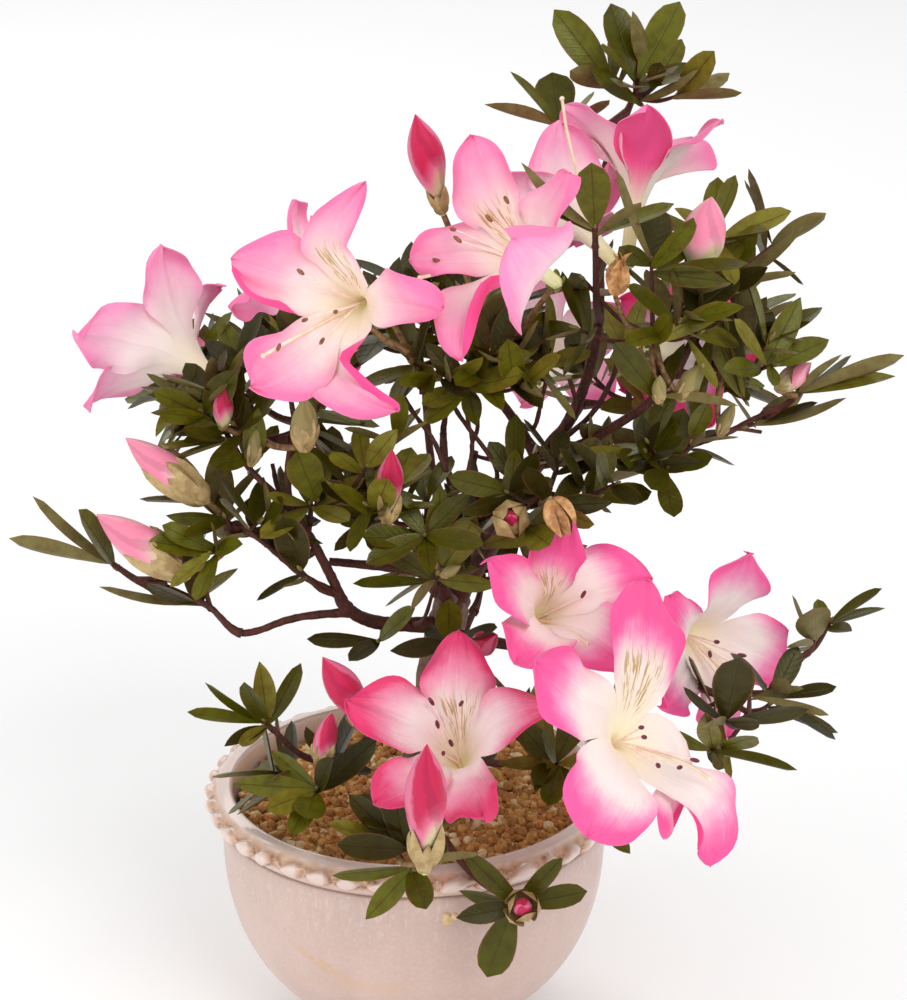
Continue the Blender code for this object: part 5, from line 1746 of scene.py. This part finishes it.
class Foliage:
    """Grows every mass's twigs and leaves, keeping them off the pot and the blooms."""

    def __init__(self, surfaces):
        self.surfaces = surfaces
        self.twigs = []
        self.leaves = [[] for _ in LEAF_TONES]
        self.buds = []

    def blocked(self, start, end):
        """Whether a straight line would pass through the pot or a petal."""
        way = (end - start).normalized()
        reach = (end - start).length
        return any(tree.ray_cast(start, way, reach)[0] is not None for tree in self.surfaces)

    def clear_route(self, start, end):
        """The straightest of a few bowed stems that touches no bloom."""
        for bend in BEND_TRIES:
            for k in range(BEND_TURNS if bend else 1):
                path = bowed(start, end, bend, FULL_TURN * k / BEND_TURNS, TWIG_SAG)
                if not any(self.blocked(a, b) for a, b in zip(path, path[1:])):
                    return path
        return bowed(start, end, TWIG_BOW, 0.0)

    def add_leaf(self, root, tip, facing, slim, tone, rng):
        """One leaf from root to tip, unless it would pass through a petal."""
        along = tip - root
        length = along.length
        across = along.cross(facing).normalized()
        up = across.cross(along).normalized()
        half = across * 0.5 * slim * length
        middle = root.lerp(tip, 0.55)
        if self.blocked(root, tip) or self.blocked(middle - half, middle + half):
            return False
        pattern = rng.choice(LEAVES[:2] if slim > BROAD_LEAF else LEAVES)
        self.leaves[tone].append((pattern, placing(root, across * slim * length, along,
                                                   up * length)))
        return True

    def add_whorl(self, mass, path, count, rng):
        """A whorl that climbs the last part of a twig, shorter where room is short."""
        _, _, _, _, _, length, slim = MASSES[mass]
        _, along = point_along(path, 1.0)
        total = sum((b - a).length for a, b in zip(path, path[1:]))
        tone = leaf_tone(path[-1], rng)
        for k, way in enumerate(leaf_ways(along, count, rng)):
            down = min(0.6, WHORL_LENGTH / total) * k / count
            root = point_along(path, 1.0 - down)[0] - along * LEAF_SINK
            size = length * rng.uniform(*LEAF_SIZES)
            one = tone if rng.random() < SAME_TONE["whorl"] else rng.randrange(len(LEAF_TONES))
            for share in LEAF_TRIES:
                end = root + way * size * share
                if in_reach(mass, end):
                    facing = (along + UP * FACING_LIFT).normalized()
                    if self.add_leaf(root, end, facing, slim, one, rng):
                        break
        self.add_leaf_bud(path[-1], along, rng)

    def add_leaf_bud(self, end, along, rng):
        """The small pointed bud in the middle of a whorl."""
        size = rng.uniform(*LEAF_BUD_SIZES)
        across = along.orthogonal().normalized() * size * LEAF_BUD_GIRTH
        where = placing(end - along * LEAF_BUD_SINK, across, along.cross(across), along * size)
        self.buds.append((BUD_FULL, where))

    def grow(self, mass, start):
        """One mass: its stem, its twigs, finer side twigs and whorls of leaves."""
        _, _, centre, reach, count, _, _ = MASSES[mass]
        rng = random.Random(len(mass) * 7 + sum(centre))
        hub = Vector(centre) - UP * HUB_DROP * reach[2]
        if not count:
            middles = [Vector(whole(seen_at(*spot))) for name, _, spot, _ in SPRAYS if name == mass]
            hub = max(middles, key=lambda middle: (middle - start).length)
        vias = [Vector(via) for via in STEM_VIAS.get(mass, ())]
        stem = smooth_path([start, *vias, hub], 4) if vias else self.clear_route(start, hub)
        self.twigs.append((stem, limb_radii(stem, STEM_RADIUS, TWIG_RADIUS)))
        for end in twig_tips(mass, rng):
            starts = [point_along(stem, share)[0] for share in STEM_SHARES]
            root = min(starts, key=lambda point: (point - end).length)
            path = self.clear_route(root, end)
            self.twigs.append((path, limb_radii(path, TWIG_RADIUS, TWIG_END_RADIUS)))
            self.add_whorl(mass, path, LEAVES_A_WHORL, rng)
            self.add_side_twig(mass, path, rng)
        return stem

    def grow_spray(self, parent, share, middle, leaves):
        """A twig from a stem or limb to the middle of a spray, and the leaves at its end."""
        rng = random.Random(sum(middle))
        middle = Vector(middle)
        shares = (share,) if share else STEM_SHARES
        starts = [point_along(parent, share)[0] for share in shares]
        root = min(starts, key=lambda point: (point - middle).length)
        path = self.clear_route(root, middle)
        self.twigs.append((path, limb_radii(path, TWIG_RADIUS, TWIG_END_RADIUS)))
        total = sum((b - a).length for a, b in zip(path, path[1:]))
        tone = leaf_tone(path[-1], rng)
        for k, (x, y, z, slim, turn) in enumerate(leaves):
            down = min(0.5, SPRAY_CLIMB / total) * k / len(leaves)
            foot, along = point_along(path, 1.0 - down)
            one = tone if rng.random() < SAME_TONE["spray"] else rng.randrange(len(LEAF_TONES))
            for shift in SPRAY_SHIFTS:
                tip = Vector((x, y, z)) + TO_VIEWER * shift
                facing = Matrix.Rotation(math.radians(turn), 3, tip - foot) @ TO_VIEWER
                if self.add_leaf(foot - along * LEAF_SINK, tip, facing, slim / 100, one, rng):
                    break
        self.add_leaf_bud(path[-1], along, rng)

    def add_side_twig(self, mass, path, rng):
        """Now and then a finer twig beside a twig, with a small whorl of its own."""
        turn = rng.uniform(*ANY_TURN)
        if rng.random() > SIDE_TWIG_CHANCE:
            return
        root, along = point_along(path, SIDE_TWIG_SHARE)
        turn += GOLDEN_ANGLE
        out = Matrix.Rotation(turn, 3, along) @ along.orthogonal().normalized()
        spread = math.radians(rng.uniform(*SIDE_TWIG_SPREAD))
        way = along * math.cos(spread) + out * math.sin(spread) + UP * SIDE_TWIG_LIFT
        end = root + way.normalized() * SIDE_TWIG_LENGTH * rng.uniform(*SIDE_TWIG_LENGTHS)
        if in_reach(mass, end) and not self.blocked(root, end):
            side = bowed(root, end, 0.1, turn)
            self.twigs.append((side, limb_radii(side, *SIDE_TWIG_RADII)))
            self.add_whorl(mass, side, LEAVES_A_SIDE_TWIG, rng)


def make_foliage(foliage, bark, underside, organs):
    """Join what grew: all twigs, and the leaves of each tone."""
    twigs = tubes("twigs", foliage.twigs, TWIG_SIDES)
    smooth(twigs)
    done(twigs, (bark,))
    for k, (tone, placings) in enumerate(zip(LEAF_TONES, foliage.leaves)):
        upper = leaf_finish(f"leaf_{k}", tone, (70, 40, 24), 0.25)
        piece = copies(f"leaves_{k}", placings)
        done(piece, (upper, underside), tuple(MASSES) if k == 0 else ())
    done(copies("leaf_buds", foliage.buds), (organs["leaf_bud"],))


def make_stage():
    """Plain pale floor, soft studio light and the camera."""
    floor = added("floor", bpy.ops.mesh.primitive_plane_add, size=FLOOR_SIZE)
    pale = Finish("pale_floor", 0.9)
    pale.set(Base_Color=(0.93, 0.93, 0.93, 1.0))
    floor.data.materials.append(pale.material)
    for name, place, size, power in LIGHTS:
        light = bpy.data.lights.new(name, "AREA")
        light.size = size
        light.energy = power
        lamp = bpy.data.objects.new(name, light)
        lamp.location = place
        aim = Vector(LIGHTS_AIM) - lamp.location
        lamp.rotation_euler = aim.to_track_quat("-Z", "Y").to_euler()
        bpy.context.scene.collection.objects.link(lamp)
    world = bpy.data.worlds.new("studio")
    world.use_nodes = True
    sky = world.node_tree.nodes["Background"].inputs
    sky["Color"].default_value = (1.0, 1.0, 1.0, 1.0)
    sky["Strength"].default_value = SKY_STRENGTH
    bpy.context.scene.world = world
    view = bpy.data.cameras.new("view")
    view.sensor_width = SENSOR
    view.lens = LENS
    camera = bpy.data.objects.new("view", view)
    rise = math.radians(VIEW_ELEVATION)
    camera.location = Vector((VIEW_ASIDE, -VIEW_DISTANCE * math.cos(rise),
                              POT_HEIGHT + VIEW_DISTANCE * math.sin(rise))) * MM
    camera.rotation_euler = (math.radians(90.0 - VIEW_PITCH), 0.0, 0.0)
    bpy.context.scene.collection.objects.link(camera)
    bpy.context.scene.camera = camera
    bpy.context.scene.view_settings.view_transform = "Standard"


make_stage()
pot = make_pot(glaze_finish())
make_soil((soil_finish("grain_tan", (226, 176, 102), (190, 136, 70)),
           soil_finish("grain_brown", (196, 140, 74), (150, 100, 50)),
           soil_finish("grain_pale", (246, 224, 180), (226, 190, 134)),
           soil_finish("grain_rust", (212, 140, 70), (166, 100, 48))),
          soil_finish("soil_bed", (84, 54, 32), (40, 26, 16)))
trunk_bark = bark_finish("trunk_bark", (136, 98, 78), (74, 48, 38), (168, 142, 120))
twig_bark = bark_finish("twig_bark", (98, 44, 28), (44, 16, 10), (160, 112, 82))
make_trunk(trunk_bark)
limbs = limb_paths()
make_limbs(limbs, twig_bark)

LEAVES = (leaf_pattern("leaf_oval", 1.24, 0.5, 0.16, 0.05),
          leaf_pattern("leaf_spoon", 1.55, 0.5, 0.08, 0.04),
          leaf_pattern("leaf_lance", 1.08, 0.76, 0.2, 0.05))
SCALE = leaf_pattern("bud_scale", 0.8, 0.7, -0.1, 0.14)
CUP = leaf_pattern("bud_cup", 1.0, 0.66, -0.4, 0.2)
BUD_SLIM = bud_pattern("bud_slim", *BUD_FORMS["slim"], 0.6, 0.05)
BUD_FULL = bud_pattern("bud_full", *BUD_FORMS["full"], 0.5, 0.05)
ANTHER = Pattern(added("anther", bpy.ops.mesh.primitive_uv_sphere_add, segments=8, ring_count=6,
                       radius=1.0))

# Petal finishes: margin, blush and pale tone, where the blush starts, and how far each reaches
soft = ((250, 118, 168), (245, 166, 190), (248, 222, 216), 0.25, (0.02, 0.6, 0.46, 0.92))
deep = ((248, 86, 152), (248, 152, 188), (250, 224, 220), 0.42, (0.12, 0.54, 0.4, 0.76))
front = ((230, 56, 112), (240, 138, 166), (250, 222, 222), 0.32, (0.08, 0.58, 0.5, 0.82))
hot_back = ((250, 76, 144), (251, 116, 172), (248, 176, 198), 0.1, (-0.1, 0.3, 0.1, 0.6))
soft_back = ((248, 140, 184), (247, 184, 206), (250, 230, 224), 0.28, (0.04, 0.66, 0.46, 0.9))
deep_back = ((240, 60, 130), (246, 140, 182), (248, 216, 222), 0.3, (0.1, 0.5, 0.34, 0.64))
strong_back = ((253, 82, 146), (254, 104, 158), (249, 162, 190), 0.02, (-0.2, 0.14, 0.0, 0.36))
strong = ((249, 84, 150), (250, 146, 186), (250, 224, 218), 0.26, (0.1, 0.48, 0.3, 0.6))
petals = {}
# For each kind of bloom, its petals' faces plain, flecked and odd, then their backs
for kind, *looks in (("soft", soft, soft, soft, hot_back, hot_back, soft_back),
                     ("pale", soft, soft, soft, soft_back, soft_back, soft_back),
                     ("deep", deep, strong, strong, deep_back, deep_back, deep_back),
                     ("front", front, front, front, deep_back, deep_back, deep_back),
                     ("top", soft, soft, soft, soft_back, soft_back, strong_back)):
    petals[kind] = tuple(petal_finish(f"petal_{kind}_{k}", *look, k == 1)
                         for k, look in enumerate(looks))
small = {
    "stalk": plain_finish("flower_stalk", (150, 120, 70), (110, 70, 46), 0.6, 500.0),
    "filament": plain_finish("filament", (252, 238, 222), (248, 216, 206), 0.45, 300.0),
    "style": plain_finish("style", (246, 226, 196), (236, 206, 180), 0.42, 300.0),
    "anther": plain_finish("anther", (124, 40, 52), (78, 22, 34), 0.5, 900.0),
    "tan_anther": plain_finish("tan_anther", (158, 104, 70), (116, 66, 46), 0.55, 900.0),
    "calyx": plain_finish("calyx", (136, 142, 72), (100, 108, 50), 0.55, 500.0),
    "scale": plain_finish("bud_scale", (190, 164, 112), (160, 132, 84), 0.5, 260.0),
    "scale_dry": plain_finish("bud_scale_dry", (206, 158, 100), (160, 108, 64), 0.6, 420.0),
    "leaf_bud": plain_finish("leaf_bud", (128, 122, 60), (110, 84, 46), 0.5, 400.0),
}
blooms = Blooms(limbs, petals)
for name, heads in BLOOMS.items():
    blooms.grow(name, heads)
blooms.make_organs(small)

stems = {}
foliage = Foliage([pot, *blooms.surfaces])
for mass, (limb, share, *_) in MASSES.items():
    stems[mass] = foliage.grow(mass, point_along(limbs[limb], share)[0])
for parent, share, spot, leaves in SPRAYS:
    stem = stems.get(parent) or limbs[parent]
    foliage.grow_spray(stem, share, whole(seen_at(*spot)), seen_leaves(parent, spot, leaves))
furled = {
    "crimson": bud_finish("bud_crimson", (196, 22, 76), (232, 124, 160), (216, 206, 156)),
    "blush": bud_finish("bud_blush", (236, 134, 162), (234, 172, 180), (206, 204, 140)),
    "green": bud_finish("bud_green", (146, 132, 78), (156, 142, 88), (168, 150, 100)),
}
buds = Buds(stems, furled)
for row in BUDS:
    buds.grow(*row)
for row in OPEN_BUDS:
    buds.grow_open(*row)
buds.make(furled, small)
underside = leaf_finish("leaf_underside", (118, 108, 62), (146, 112, 74), 0.5)
make_foliage(foliage, twig_bark, underside, small)
